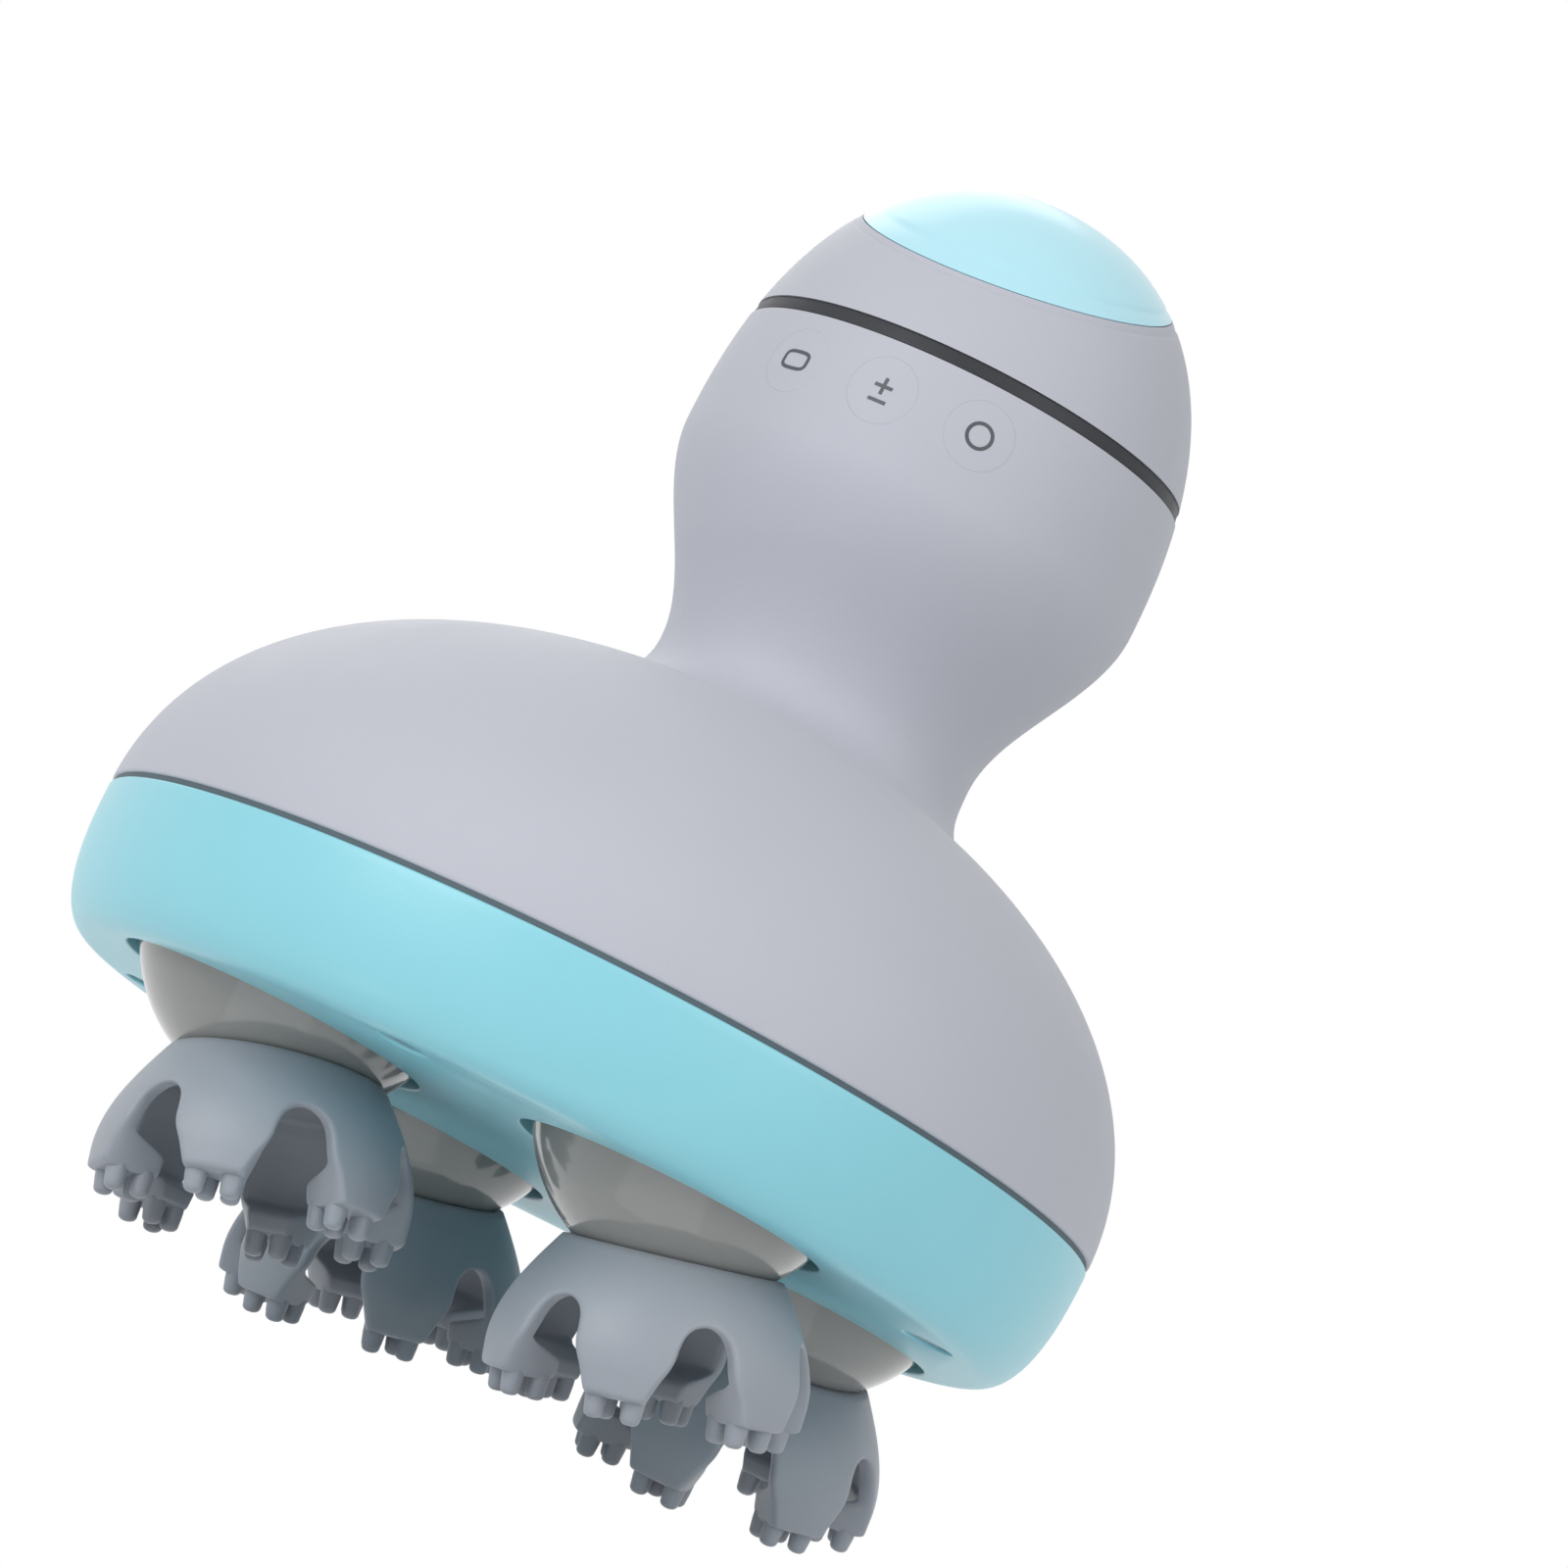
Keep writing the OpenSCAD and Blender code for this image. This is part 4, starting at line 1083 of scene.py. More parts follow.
@dataclass
class BaseShell:
    """Blue underside of the head, with four round openings that have rounded lips.

    The tongue is the profile (radius, height) of the ring that stands in the body shell. The
    cutters start cut_margin below the underside, and those of the openings end wall_margin above
    the wall.
    """

    datum: Datum
    radius: float = 60.0
    depth: float = 16.2
    flat_r: float = 53.6
    seam_half: float = 0.3
    side_power: float = 2.5
    wall: float = 2.2
    edge: float = 0.3
    opening_r: float = 17.7
    lip: float = 0.7
    lip_turn: float = 70.0
    lip_sharp: float = 50.0
    screw_d: float = 50.0
    screw_turns: tuple[float, ...] = (0, 90, 180, 270)
    recess_r: float = 2.9
    recess_depth: float = 2.4
    cut_margin: float = 2.0
    wall_margin: float = 1.5
    tongue: tuple[tuple[float, float], ...] = ((57.6, -3.2), (57.6, 2.0), (56.3, 2.0), (56.3, -3.2))
    columns: int = 288
    outer_rows: int = 40
    inner_rows: int = 16
    edge_rows: int = 5
    lip_rows: int = 4
    opening_columns: int = 128
    recess_columns: int = 48

    def side(self, inset: float, count: int) -> Array:
        """Outline of the side, from the seam down to the flat underside.

        Formula: a quarter of a superellipse between the seam's radius and the flat's radius.

        Args:
            inset: How far inside the outer surface.
            count: Number of points.

        Returns:
            Points (radius, height).
        """
        across, down = superellipse(count, self.side_power)
        span, drop = self.radius - self.flat_r - inset, self.depth - self.seam_half - inset
        return np.stack([self.flat_r + span * across, -self.seam_half - drop * down], axis=1)

    def build(self) -> None:
        """A turned shell with flat faces in one piece, then the openings, then their lips."""
        made = piece("base_shell_skin", self.turned_shell())
        cut(made, self.cutters())
        self.round_lips(made)
        place(made, "housing", Finishes.BASE_BLUE, "base_shell")

    def turned_shell(self) -> MeshParts:
        """The shell before it is cut: the tongue and the side, the two flats, and the inside.

        Returns:
            The closed surface.
        """
        over, up = superellipse(self.edge_rows)
        fall, sink = self.edge * (1 - up), self.edge * (1 - over)
        rim = np.stack([self.radius - fall, -self.seam_half - sink], axis=1)
        outer, inner = self.side(0.0, self.outer_rows), self.side(self.wall, self.inner_rows)[::-1]
        outer = outer[outer[:, 1] < -self.seam_half - self.edge]
        tongue = np.array(self.tongue)
        profile = join_rows(tongue[::-1][:3], [tongue[0, 0], -self.seam_half], rim, outer)
        parts = MeshParts().grid(self.datum.turned(profile, self.columns))
        flats = self.datum.turned(join_rows(outer[-1], inner[0]), self.columns)
        parts.polygon(flats[0]).polygon(flats[1])
        climb = join_rows(inner[inner[:, 1] < tongue[3, 1]], tongue[3])
        return parts.grid(self.datum.turned(climb, self.columns))

    def cutters(self) -> MeshParts:
        """Cylinders for the four openings and for the recesses of the four screws.

        Returns:
            The closed cutters.
        """
        parts = MeshParts()
        flat = self.datum.seam_z - self.depth
        low, high = flat - self.cut_margin, flat + self.wall + self.wall_margin
        recess = drum(self.recess_r, low, flat + self.recess_depth)
        for pod in Pod:
            x, y, _ = polar(self.datum.pod_d, pod.heading)
            parts.grid(revolve(drum(self.opening_r, low, high), self.opening_columns, (x, y)))
        for turn in self.screw_turns:
            x, y, _ = polar(self.screw_d, turn)
            parts.grid(revolve(recess, self.recess_columns, (x, y)))
        return parts

    def round_lips(self, made: bpy.types.Object) -> None:
        """Rounds the sharp edges of the openings and recesses on the underside.

        Args:
            made: The shell.
        """
        step = made.modifiers.new("lips", "BEVEL")
        step.width, step.segments, step.limit_method = self.lip * MM, self.lip_rows, "ANGLE"
        step.angle_limit, step.harden_normals = math.radians(self.lip_turn), False
        freeze(made)
        shade(made.data, self.lip_sharp)


# ---------------------------------------------------------------- massage heads


@dataclass
class MassageHead:
    """A glossy bowl and the tilted silicone claw on it, both measured from the bowl's centre.

    The hollow is the profile (radius, height) of the bowl's inside: skirt, wall, floor, hub and
    bore. The rows of the claw's wall are counted down to the arch's rounded edge, over that edge,
    over the arch's top, down to the foot's rounded edge, and over that. Each ring of nubs is its
    radius and half the turn between its two nubs on one leg.
    """

    datum: Datum
    pod: Pod
    ball_r: float = 18.3
    ball_drop: float = 7.5
    ball_columns: int = 160
    ball_rows: int = 48
    seat_rows: int = 4
    hollow: tuple[tuple[float, float], ...] = (
        (18.3, 1.5), (16.5, 1.5), (16.5, 0.0), (14.5, -7.9), (6.4, -11.0),
        (6.4, 3.2), (3.02, 3.2), (3.02, -7.8), (0.0, -7.8),
    )
    seat_d: float = 14.5
    tilt: float = 15.0
    crown_r: float = 12.0
    crown_end: float = 3.6
    crown_lip: float = 0.35
    crown_lip_h: float = 0.5
    crown_t: float = 2.2
    roof_fillet: float = 1.4
    claw_r: float = 17.6
    claw_h: float = 15.6
    flare_h: float = 13.0
    claw_wall: float = 2.0
    legs: int = 6
    leg_w: float = 7.4
    leg_columns: int = 33
    top_rows: int = 24
    wall_rows: tuple[int, int, int, int, int] = (4, 7, 14, 14, 9)
    curve_points: int = 8
    straight_points: int = 12
    arch_r: float = 3.0
    arch_top: float = 6.2
    arch_lean: float = 53.0
    arch_blend: int = 8
    arch_steps: int = 600
    arch_beyond: float = 1.0
    foot_r: float = 10.8
    foot_rise: float = 4.4
    foot_blend: float = 2.2
    round_r: float = 0.9
    round_power: float = 3.2
    plug_r: float = 4.2
    plug_in: float = 3.0
    plug_out: float = 0.4
    plug_columns: int = 48
    nub_r: float = 1.2
    nub_h: float = 2.3
    nub_sink: float = 0.6
    nub_foot: float = 0.5
    nub_flare: float = 1.06
    nub_taper: float = 0.9
    nub_round: float = 0.9
    nub_power: float = 2.6
    nub_rows: int = 6
    nub_columns: int = 20
    nub_rings: tuple[tuple[float, float], ...] = ((15.4, 7.5), (12.3, 6.5))
    claw_sharp: float = 60.0

    def build(self) -> None:
        """The bowl and the claw, on their turning body."""
        label = self.pod.label
        body, bowl, claw = f"massage_head_{label}", f"pod_{label}", f"claw_{label}"
        place(piece(f"{bowl}_gloss", self.bowl()), body, Finishes.POD_GREY, bowl)
        soft = piece(f"{claw}_soft", self.claw(), self.claw_sharp)
        place(soft, body, Finishes.SILICONE, claw)

    def centre(self) -> Array:
        """The bowl's centre in the frame."""
        flat = polar(self.datum.pod_d, self.pod.heading)
        return flat + np.array([0, 0, self.datum.seam_z - self.ball_drop])

    def aim(self) -> Array:
        """Matrix from the claw's own axes, with Z outwards from its seat, to the frame's."""
        return rotation_z(self.pod.lean) @ rotation_y(180 - self.tilt)

    def on_seat(self, surface: Array) -> Array:
        """Moves a surface from the claw's own axes into the frame."""
        return surface @ self.aim().T + self.centre()

    def bowl(self) -> MeshParts:
        """A ball with a flat seat for the claw, open at the top, with a hub for the shaft.

        Formula: outside, each column turns along a great circle from the seat's slanted rim to the
        level equator. Above it stands a short skirt, and the inside is turned about the upright
        axis.

        Returns:
            The closed surface.
        """
        turn = full_turn(self.ball_columns)
        level = np.stack([np.cos(turn), np.sin(turn), np.zeros_like(turn)], axis=-1)
        seat_r = math.sqrt(self.ball_r**2 - self.seat_d**2) / self.ball_r
        own = level * np.array([-1, 1, 0])
        rim = (own * seat_r + np.array([0, 0, self.seat_d / self.ball_r])) @ self.aim().T
        around = np.arctan2(rim[:, 1], rim[:, 0]) + 2 * np.pi
        rim = rim[np.argsort(around % (2 * np.pi))]
        middle = rim.mean(axis=0)
        heading = np.arctan2(rim[:, 1] - middle[1], rim[:, 0] - middle[0])
        level = np.stack([np.cos(heading), np.sin(heading), np.zeros_like(heading)], axis=-1)
        between = np.arccos((rim * level).sum(axis=1))[:, None]
        share = np.linspace(0, 1, self.ball_rows)[:, None, None]
        arc = np.sin((1 - share) * between) * rim + np.sin(share * between) * level
        seat = middle + (rim - middle) * np.linspace(0, 1, self.seat_rows)[:-1, None, None]
        outside = np.concatenate([seat, arc / np.sin(between)]) * self.ball_r
        hollow = np.array(self.hollow)
        inside = hollow[:, None, :1] * level[None, :, :]
        inside[..., 2] = hollow[:, 1:2]
        return MeshParts().grid(np.concatenate([outside, inside]) + self.centre())

    def bell(self, s: Array) -> Array:
        """Radius of the claw's outside at s from its seat: the crown's and a quarter sine wave."""
        t = (s / self.flare_h).clip(0, 1)
        return self.crown_r + (self.claw_r - self.crown_r) * np.sin(t * np.pi / 2)

    def arch(self, s: Array) -> Array:
        """Half width of an arch on the claw's outside.

        Formula: the larger of a circle's half chord and of a wedge whose inner edge leans from the
        axis at the feet, joined smoothly as the eighth root of the sum of their eighth powers.

        Args:
            s: Distances along the axis from the seat.

        Returns:
            The half widths.
        """
        peak = self.arch_top + self.arch_r
        half = math.pi / self.legs - math.asin(self.leg_w / 2 / self.claw_r)
        chord = np.sqrt((self.arch_r**2 - (s - peak) ** 2).clip(0))
        start = ((s - self.arch_top) / self.arch_r).clip(0, 1)
        inner = (self.claw_h - s) * math.tan(math.radians(self.arch_lean))
        wedge = math.tan(half) * (self.bell(s) - inner).clip(0) * start * start * (3 - 2 * start)
        return (chord**self.arch_blend + wedge**self.arch_blend) ** (1 / self.arch_blend)

    def sector(self, outer: Array) -> tuple[Array, Array]:
        """The grid of one leg: how far each point is turned, and how thick the wall is there.

        Formula: the thickness is a superellipse of the distance to the nearest free edge, so that
        the two skins meet in a rounded edge along each arch and under each foot. The distance to
        an arch is the least of those to points along its edge. The outermost columns run along the
        arches, where it is none, and under the foot they end on their neighbours.

        Args:
            outer: The claw's outer outline.

        Returns:
            Angles from the leg's middle, and shares of the full thickness, as rows, columns.
        """
        s, half_turn = outer[:, 1], np.pi / self.legs
        solid, around = s < self.arch_top, outer[:, 0].clip(self.crown_r / 2)
        reach = half_turn - np.where(solid, 0.0, self.arch(s)) / around
        across = np.sin(np.linspace(-1, 1, self.leg_columns) * np.pi / 2)
        angle = reach[:, None] * across
        angle[-1, [0, -1]] = angle[-1, [1, -2]]
        side = around[:, None] * (half_turn - np.abs(angle))
        share = np.linspace(0, 1, self.arch_steps) ** 2
        edge_s = self.arch_top + (self.claw_h + self.arch_beyond - self.arch_top) * share
        gap = np.hypot(side[..., None] - self.arch(edge_s), s[:, None, None] - edge_s).min(axis=-1)
        gap[:, [0, -1]] *= solid[:, None]
        return angle, self.rounding(gap) * self.rounding(self.claw_h - s)[:, None]

    def claw(self) -> MeshParts:
        """A bell whose wall is cut by arches into legs, with thick feet and nubs under them.

        Formula: the outer and the inner outline give a middle line and a half thickness, and each
        skin lies the local share of that half thickness to its side of the middle line.

        Returns:
            The closed surfaces.
        """
        outer, inner = self.outlines()
        middle, half = (outer + inner) / 2, (outer - inner) / 2
        angle, thick = self.sector(outer)
        parts = MeshParts()
        for leg in range(self.legs):
            heading = self.pod.leg_turn + leg * 360 / self.legs
            turn = angle + math.radians(heading)
            for way in (1.0, -1.0):
                radius = middle[:, :1] + way * thick * half[:, :1]
                depth = self.seat_d + (middle[:, 1:] + way * thick * half[:, 1:])
                skin = np.stack([radius * np.cos(turn), radius * np.sin(turn), depth], axis=-1)
                parts.grid(self.on_seat(skin), closed=False)
            for radius, spread in self.nub_rings:
                for way in (-1, 1):
                    parts.grid(self.nub(radius, heading + way * spread))
        plug = drum(self.plug_r, self.seat_d - self.plug_in, self.seat_d + self.plug_out)
        return parts.grid(self.on_seat(revolve(plug, self.plug_columns)))

    def rounding(self, distance: Array) -> Array:
        """Share of the full thickness at a distance from a free edge, as a superellipse."""
        near = 1 - (distance / self.round_r).clip(0, 1)
        return (1 - near**self.round_power) ** (1 / self.round_power)

    def edge_steps(self, count: int) -> Array:
        """Distances before a free edge, from the rounding's radius down to none."""
        return self.round_r * (1 - superellipse(count, self.round_power)[0])[::-1]

    def outlines(self) -> tuple[Array, Array]:
        """The claw's outer and inner outline, point for point.

        Formula: outside, a flat crown, a rounded lip and the bell. Inside, a flat roof, a fillet
        and the bell less the wall, which thickens in a smooth step to the feet.

        Returns:
            The outer and the inner points, as (radius, distance from the seat).
        """
        end, flat_r = self.crown_end, self.crown_r - self.crown_lip
        to_arch, arch_edge, arch_rows, to_foot, foot_edge = self.wall_rows
        over, up = superellipse(self.curve_points)
        lip = [flat_r + 2 * self.crown_lip * up, self.crown_lip_h * (1 - over)]
        first_s = np.linspace(self.crown_lip_h, end, self.straight_points)[1:]
        crown = join_rows(
            np.linspace((0, 0), (flat_r, 0), self.straight_points)[:-1],
            np.stack(lip, axis=1),
            np.stack([self.bell(first_s), first_s], axis=1),
        )
        roof_r = float(self.bell(np.array([end]))[0]) - self.claw_wall - self.roof_fillet
        drop = self.crown_t + (end - self.crown_t) * (1 - over)
        roof = join_rows(
            np.linspace((0, self.crown_t), (roof_r, self.crown_t), self.straight_points)[:-1],
            np.stack([roof_r + self.roof_fillet * up, drop], axis=1),
        )
        near = self.arch_top - self.edge_steps(arch_edge)
        foot = self.claw_h - self.edge_steps(foot_edge)
        quarter = np.linspace(0, np.pi / 2, arch_rows)
        arch = self.arch_top + self.arch_r * (1 - np.cos(quarter))
        s = np.concatenate([
            np.linspace(end, near[0], to_arch)[1:], near[1:], arch[1:],
            np.linspace(arch[-1], foot[0], to_foot)[1:], foot[1:],
        ])
        outer = join_rows(resample(crown, self.top_rows), np.stack([self.bell(s), s], axis=1))
        grow = ((s - (self.claw_h - self.foot_rise)) / self.foot_blend).clip(0, 1)
        thicker = (self.claw_r - self.claw_wall - self.foot_r) * grow * grow * (3 - 2 * grow)
        wall = np.stack([self.bell(s) - self.claw_wall - thicker, s], axis=1)
        return outer, join_rows(resample(roof, self.top_rows), wall)

    def nub(self, radius: float, turn: float) -> Array:
        """A blunt round nub under a foot.

        Formula: a slightly tapering drum that ends in a quarter of a superellipse, turned about
        its own axis.

        Args:
            radius: Distance from the claw's axis.
            turn: Its turn about that axis, in degrees.

        Returns:
            Points as rows, columns, 3, in the frame.
        """
        over, up = superellipse(self.nub_rows, self.nub_power)
        base = self.seat_d + self.claw_h
        tip = base + self.nub_h
        dome = [self.nub_r * self.nub_taper * over, tip - self.nub_round + self.nub_round * up]
        profile = join_rows(
            [0, base - self.nub_sink],
            [self.nub_r * self.nub_flare, base - self.nub_sink],
            [self.nub_r, base + self.nub_foot],
            np.stack(dome, axis=1),
        )
        x, y, _ = polar(radius, turn)
        return self.on_seat(revolve(profile, self.nub_columns, (x, y)))


# ---------------------------------------------------------------- buttons


@dataclass
class Buttons:
    """Three flush buttons on the handle and the printed mark on each.

    The marks are a rounded outline, given by its half sizes and the powers that square it, bars
    given by their two ends, and a ring.
    """

    datum: Datum
    handle: Handle
    radius: float = 4.04
    thick: float = 2.0
    edge: float = 0.02
    face_rows: int = 13
    edge_rows: int = 6
    columns: int = 96
    ink_w: float = 0.42
    ink_h: float = 0.03
    ink_sink: float = 0.02
    loop_points: int = 64
    bar_points: int = 12
    outline_size: tuple[float, float] = (1.75, 1.05)
    outline_power: tuple[float, float] = (0.62, 0.5)
    ring_r: float = 1.45
    bars: tuple[tuple[tuple[float, float], tuple[float, float]], ...] = (
        ((-1.1, 0.45), (1.1, 0.45)), ((0, -0.55), (0, 1.5)), ((-1.1, -1.35), (1.1, -1.35)),
    )

    def build(self) -> None:
        """Each button with its mark, on the button's own body."""
        for press in Press:
            node, mark = f"button_{press.label}", f"mark_{press.label}"
            place(piece(f"{node}_cap", self.cap(press)), node, Finishes.BUTTON_GREY, node)
            place(piece(mark, self.mark(press)), node, Finishes.MARK_INK)

    def on_handle(self, press: Press, across: Array, height: Array, depth: Array) -> Array:
        """Points on or under the handle's side.

        Formula: across runs sideways at right angles to the turn, the outward distance is what is
        left of the handle's radius at that height by Pythagoras, and depth is taken off it.

        Args:
            press: The button.
            across: Sideways distances from its centre.
            height: Heights above the seam.
            depth: Depths below the handle's surface.

        Returns:
            Points in the frame, with 3 as the last axis.
        """
        outward = np.sqrt(self.handle.radius(height) ** 2 - across**2) - depth
        flat = np.stack([across, -outward, height], axis=-1)
        return self.datum.round_handle(flat, press.value)

    def cap(self, press: Press) -> MeshParts:
        """A round cap whose face lies on the handle's surface.

        Formula: rings of points about the button's centre are laid on the handle, and their depth
        grows by a quarter circle at the edge and then straight down to the back, which follows the
        face and is drawn together at its middle.

        Args:
            press: The button.

        Returns:
            The closed surface.
        """
        over, up = superellipse(self.edge_rows)
        face = np.linspace(0, self.radius - self.edge, self.face_rows + 1)[:-1]
        ring = np.concatenate([face, self.radius - self.edge * (1 - up), [self.radius, 0]])
        fall = self.edge * (1 - over)
        depth = np.concatenate([np.zeros_like(face), fall, [self.thick, self.thick]])
        turn = full_turn(self.columns)
        across, height = ring[:, None] * np.cos(turn), ring[:, None] * np.sin(turn)
        depth = depth[:, None] * np.ones_like(across)
        points = self.on_handle(press, across, self.handle.button_z + height, depth)
        points[-1] = points[-1].mean(axis=0)
        return MeshParts().grid(points)

    def mark(self, press: Press) -> MeshParts:
        """The printed mark of one button, as thin raised ink.

        Formula: the rounded outline is a superellipse, with each coordinate the sign of the cosine
        or sine times its size to a power.

        Args:
            press: The button.

        Returns:
            The closed surfaces.
        """
        parts, turn = MeshParts(), full_turn(self.loop_points)
        circle = np.stack([np.cos(turn), np.sin(turn)], axis=1)
        if press is Press.MODE:
            outline = self.outline_size * np.sign(circle) * np.abs(circle) ** self.outline_power
            parts.grid(self.stroke(press, outline, True))
        elif press is Press.POWER:
            parts.grid(self.stroke(press, self.ring_r * circle, True))
        else:
            for start, end in self.bars:
                parts.grid(self.stroke(press, np.linspace(start, end, self.bar_points), False))
        return parts

    def stroke(self, press: Press, path: Array, loop: bool) -> Array:
        """A flat bar of ink carried along a path on the handle.

        Formula: the path is moved half the ink's width to either side along its normal, at four
        depths round the bar's section. Each end of an open path is drawn together to a point.

        Args:
            press: The button.
            path: Points (across, up) from the button's centre.
            loop: Whether the path closes on itself.

        Returns:
            Points as rows along the path, four columns, 3.
        """
        if loop:
            ahead = np.roll(path, -1, axis=0) - np.roll(path, 1, axis=0)
        else:
            ahead = np.gradient(path, axis=0)
        length = np.linalg.norm(ahead, axis=1)[:, None]
        normal = np.stack([-ahead[:, 1], ahead[:, 0]], axis=1) / length
        sides = np.array([-1, 1, 1, -1]) * self.ink_w / 2
        depth = np.array([self.ink_sink, self.ink_sink, -self.ink_h, -self.ink_h])
        across = path[:, 0:1] + normal[:, 0:1] * sides
        height = self.handle.button_z + path[:, 1:2] + normal[:, 1:2] * sides
        points = self.on_handle(press, across, height, np.broadcast_to(depth, across.shape))
        if loop:
            return np.concatenate([points, points[:1]])
        tips = (points[0], points[-1])
        first, last = (np.broadcast_to(p.mean(axis=0), p.shape)[None] for p in tips)
        return np.concatenate([first, points, last])


# ---------------------------------------------------------------- nodes that stay as they are


INSIDE: dict[Finishes, tuple[str, ...]] = {
    Finishes.SEAL_RUBBER: ("shell_seal", "pod_seals"),
    Finishes.NATURAL_PLASTIC: ("gear_plate", "gearbox_cover", "inner_frame", "switch_carrier"),
    Finishes.BRONZE: ("lower_bushes", "upper_bushes", "charge_contacts"),
    Finishes.STEEL: (
        "sun_axle", "drive_pinion", "shell_screws", "gearbox_screws", "motor_screws",
        "frame_screws", "board_screws", *(f"output_shaft_{pod.label}" for pod in Pod),
    ),
    Finishes.MOTOR_STEEL: ("gearhead", "motor_can"),
    Finishes.DARK_PLASTIC: ("motor_end_cap", "board_parts", "tact_switches"),
    Finishes.LEAD_RED: ("motor_leads", "battery_leads"),
    Finishes.BATTERY_WRAP: ("battery_cell",),
    Finishes.BOARD_GREEN: ("circuit_board",),
    Finishes.TRIM_DARK: ("charge_disc",),
    Finishes.GEAR_PLASTIC: ("compound_gear", *(f"output_gear_{pod.label}" for pod in Pod)),
}


@dataclass
class Inside:
    """Nodes whose solids are right as they are, and only need their finish."""

    nodes: dict[str, bpy.types.Object]

    def build(self) -> None:
        """Dresses each node and reports it."""
        for finish, names in INSIDE.items():
            for name in names:
                dress(self.nodes[name], finish)
                LOG.info("%s: finish %s", name, finish.value.name)


# ---------------------------------------------------------------- stage


class Lamp(Labelled):
    """The lamps: metres to the picture's right, up and towards the camera, side, and watts."""

    KEY = (-0.5, 0.85, 0.7, 0.7, 5.9)
    FILL = (0.9, 0.4, 0.9, 0.9, 4.9)
    LOW = (-0.4, -0.7, 0.6, 0.9, 1.0)
    BACK = (-0.1, 0.75, -0.95, 0.9, 2.6)
    SPARK = (-0.96, -0.26, 0.66, 0.06, 0.3)


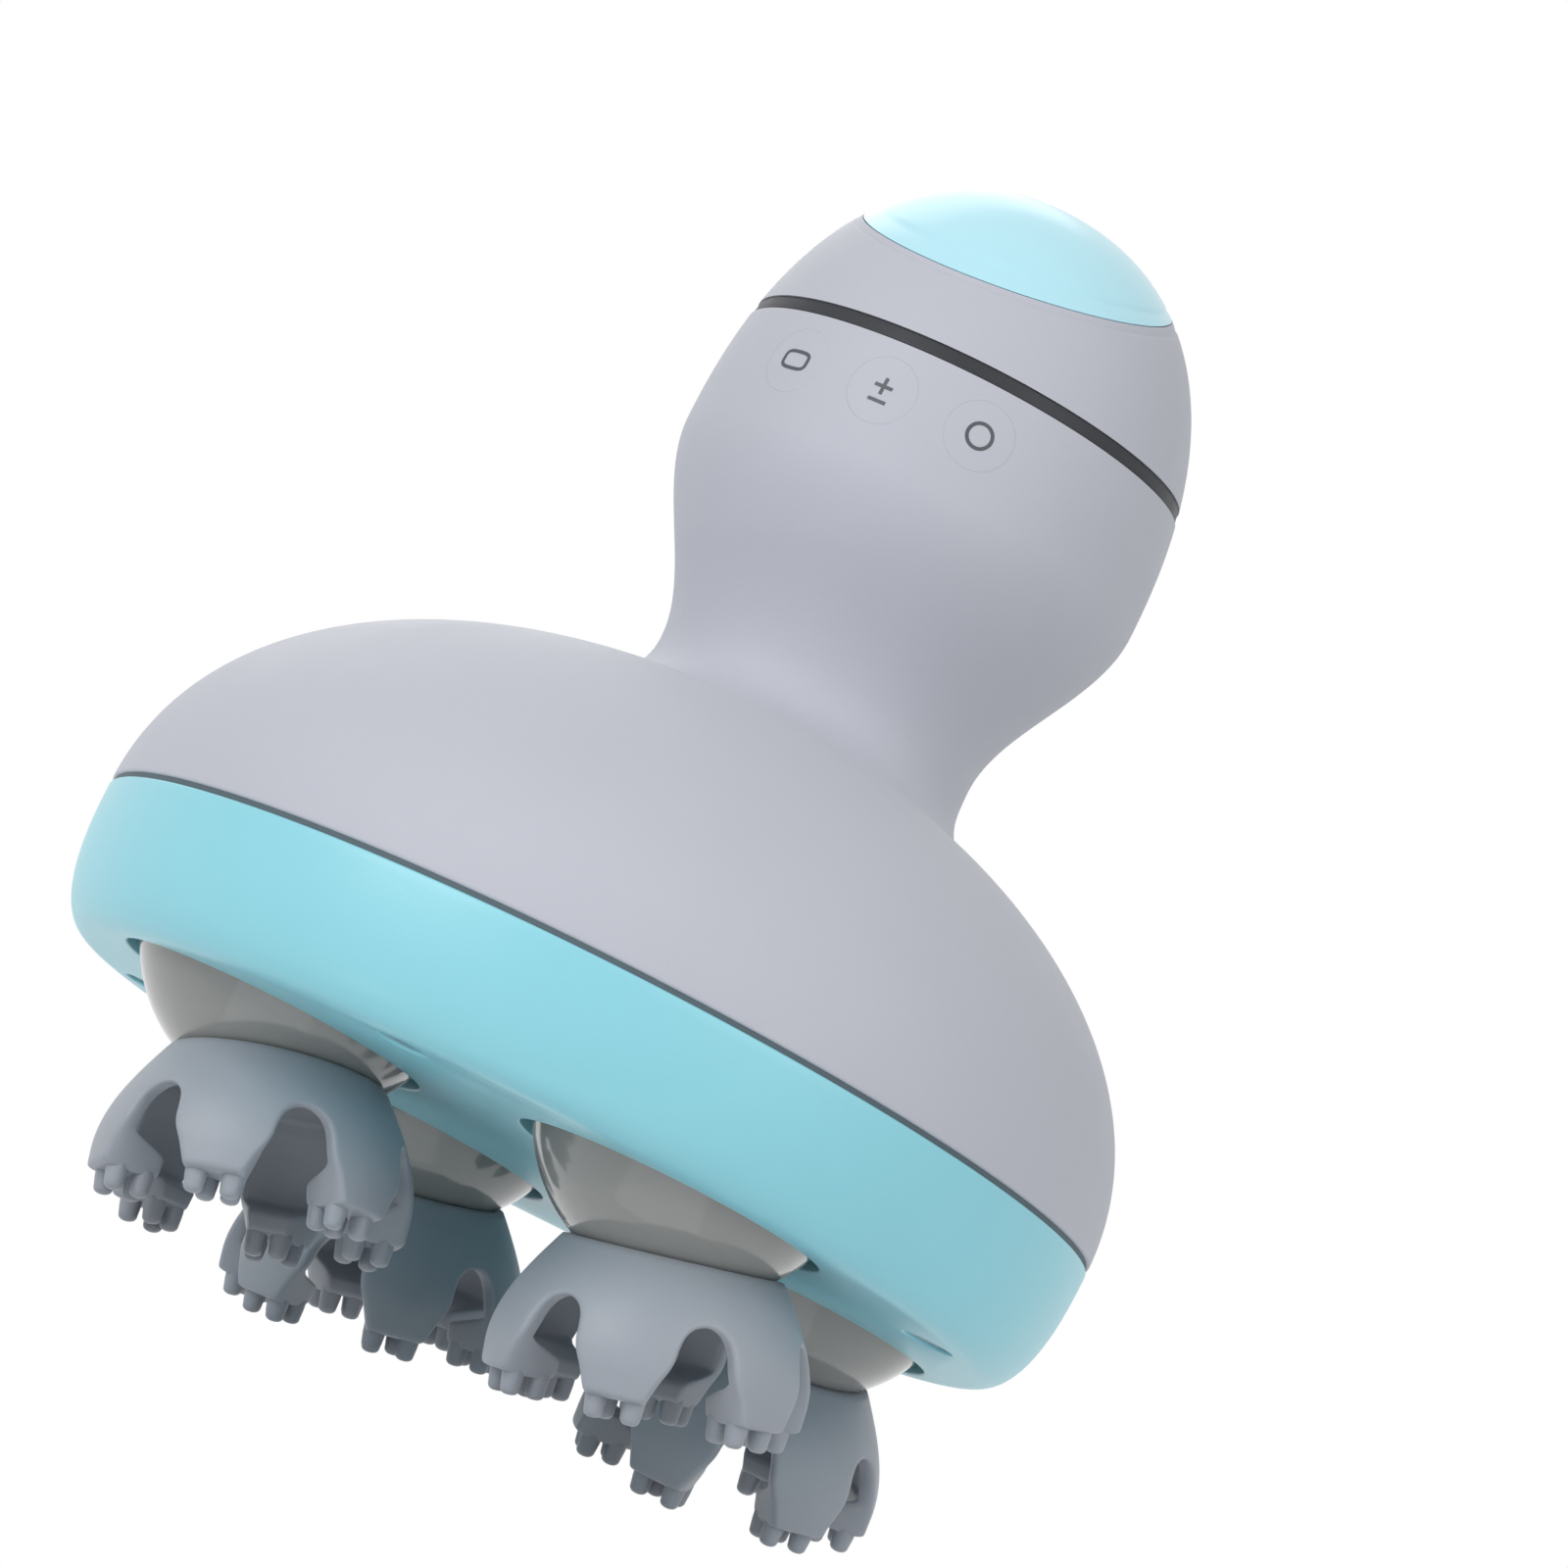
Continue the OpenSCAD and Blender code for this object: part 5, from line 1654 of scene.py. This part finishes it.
@dataclass
class Stage:
    """A pale floor that fades out round the object, soft lamps, a white room and the camera.

    Angles are in degrees. The camera's distance and aim and the floor's half side and gap are in
    millimetres, and the distances at which the floor starts and ends to fade are in metres.
    """

    datum: Datum
    azimuth: float = 20.0
    elevation: float = -9.0
    roll: float = 26.8
    distance: float = 900.0
    pixels_per_mm: float = 9.22
    frame_pixels: float = 1600.0
    aim_right: float = 6.1
    aim_up: float = 33.9
    sensor: float = 36.0
    clip: tuple[float, float] = (0.01, 20.0)
    floor_half: float = 3000.0
    floor_gap: float = 0.05
    floor_grey: float = 0.93
    floor_roughness: float = 0.8
    floor_fade: tuple[float, float] = (0.16, 0.62)
    soft_light: float = 0.40

    def build(self) -> None:
        """Camera, lamps, floor and background."""
        self.camera()
        for lamp in Lamp:
            self.light(lamp)
        self.floor()
        self.world()

    def axes(self) -> tuple[Array, Array, Array]:
        """The camera's right, up and backward directions before it is rolled.

        Formula: backward points from the object to the camera at its azimuth and elevation, right
        is level, and up is their cross product.

        Returns:
            The three directions.
        """
        a, e = math.radians(self.azimuth), math.radians(self.elevation)
        right = np.array([math.cos(a), math.sin(a), 0])
        back = np.array([math.sin(a) * math.cos(e), -math.cos(a) * math.cos(e), math.sin(e)])
        return right, np.cross(back, right), back

    def rolled(self) -> tuple[Array, Array, Array]:
        """The camera's right, up and backward directions as it is rolled.

        Formula: right and up are turned about backward.

        Returns:
            The three directions.
        """
        right, up, back = self.axes()
        cos, sin = math.cos(math.radians(self.roll)), math.sin(math.radians(self.roll))
        return right * cos + up * sin, -right * sin + up * cos, back

    def target(self) -> Array:
        """The point that the camera looks at, in millimetres."""
        rise = np.array([0, 0, self.datum.seam_z + self.aim_up])
        return self.axes()[0] * self.aim_right + rise

    def camera(self) -> None:
        """A long lens at the viewing angle, rolled so that the head's axis leans to the right."""
        x, y, back = self.rolled()
        data = bpy.data.cameras.new("camera")
        data.sensor_width = self.sensor
        data.lens = self.pixels_per_mm * self.distance * self.sensor / self.frame_pixels
        data.clip_start, data.clip_end = self.clip
        made = bpy.data.objects.new("camera", data)
        spot = (self.target() + back * self.distance) * MM
        turn = Matrix(np.stack([x, y, back], axis=1).tolist()).to_4x4()
        made.matrix_world = Matrix.Translation(Vector(spot)) @ turn
        bpy.context.scene.collection.objects.link(made)
        bpy.context.scene.camera = made

    def light(self, lamp: Lamp) -> None:
        """A soft square lamp, placed along the rolled camera's axes and aimed at the target.

        Args:
            lamp: Which lamp.
        """
        right, up, back, size, power = lamp.value
        x, y, away = self.rolled()
        target = Vector(self.target() * MM)
        spot = target + Vector(x * right + y * up + away * back)
        data = bpy.data.lights.new(lamp.label, "AREA")
        data.shape, data.size, data.energy = "SQUARE", size, power
        made = bpy.data.objects.new(lamp.label, data)
        facing = (spot - target).to_track_quat("Z", "Y")
        made.matrix_world = Matrix.Translation(spot) @ facing.to_matrix().to_4x4()
        bpy.context.scene.collection.objects.link(made)

    def floor(self) -> None:
        """A pale floor under the claws' tips, clear from below, that fades out round the object.

        Formula: it is clear by the largest of three shares: seen from its back, met by a glossy or
        shadow ray, and a smooth step of the distance from the origin.
        """
        half, z = self.floor_half, -self.floor_gap
        corners = np.array([[-half, -half, z], [half, -half, z], [half, half, z], [-half, half, z]])
        made = bpy.data.objects.new("floor", MeshParts().polygon(corners).mesh("floor"))
        bpy.context.scene.collection.objects.link(made)
        if made.data.polygons[0].normal.z < 0:
            made.data.flip_normals()
        material = bpy.data.materials.new("floor_pale")
        material.use_nodes = True
        graph, shader = Graph(material.node_tree), material.node_tree.nodes["Principled BSDF"]
        colour = linear(self.floor_grey, self.floor_grey, self.floor_grey)
        graph.feed(shader, {"Base Color": colour, "Roughness": self.floor_roughness})
        ray = graph.node("ShaderNodeLightPath").outputs
        lit = graph.math("MAXIMUM", ray["Is Glossy Ray"], ray["Is Shadow Ray"])
        point = graph.node("ShaderNodeTexCoord").outputs["Object"]
        away = graph.node("ShaderNodeVectorMath", {0: point}, operation="LENGTH").outputs["Value"]
        fade = graph.span(away, self.floor_fade, (0.0, 1.0), "SMOOTHSTEP")
        behind = graph.node("ShaderNodeNewGeometry").outputs["Backfacing"]
        clear = graph.node("ShaderNodeBsdfTransparent").outputs[0]
        graph.finish("Material Output", graph.most(behind, lit, fade), shader.outputs[0], clear)
        made.data.materials.append(material)

    def world(self) -> None:
        """White to the camera and in reflections, and a low even light on the object."""
        world = bpy.data.worlds.new("white_room")
        world.use_nodes = True
        bpy.context.scene.world = world
        graph, soft = Graph(world.node_tree), world.node_tree.nodes["Background"]
        graph.feed(soft, {"Color": WHITE, "Strength": self.soft_light})
        seen = graph.node("ShaderNodeBackground", {"Color": WHITE, "Strength": 1.0})
        ray = graph.node("ShaderNodeLightPath").outputs
        bright = (ray[f"Is {kind} Ray"] for kind in ("Camera", "Glossy", "Transmission"))
        graph.finish("World Output", graph.most(*bright), soft.outputs[0], seen.outputs[0])


def main() -> None:
    """Loads the frame, notes where its datum places lie, and builds every piece in order."""
    logging.basicConfig(level=logging.INFO, format="%(message)s")
    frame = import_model()
    bpy.context.scene.view_settings.view_transform = "Standard"
    datum, dome, handle = Datum.from_frame(), Dome(), Handle()
    places = datum.seam_z, datum.handle_y, datum.pod_d
    LOG.info("seam at %.3f mm, handle's axis at %.3f mm, bowls at %.3f mm", *places)
    Stage(datum).build()
    Inside(frame["nodes"]).build()
    BodyShell(datum, dome, handle).build()
    TrimRing(datum, handle).build()
    TopCap(datum, handle).build()
    BaseShell(datum).build()
    for pod in Pod:
        MassageHead(datum, pod).build()
    Buttons(datum, handle).build()


if __name__ == "__main__":
    main()
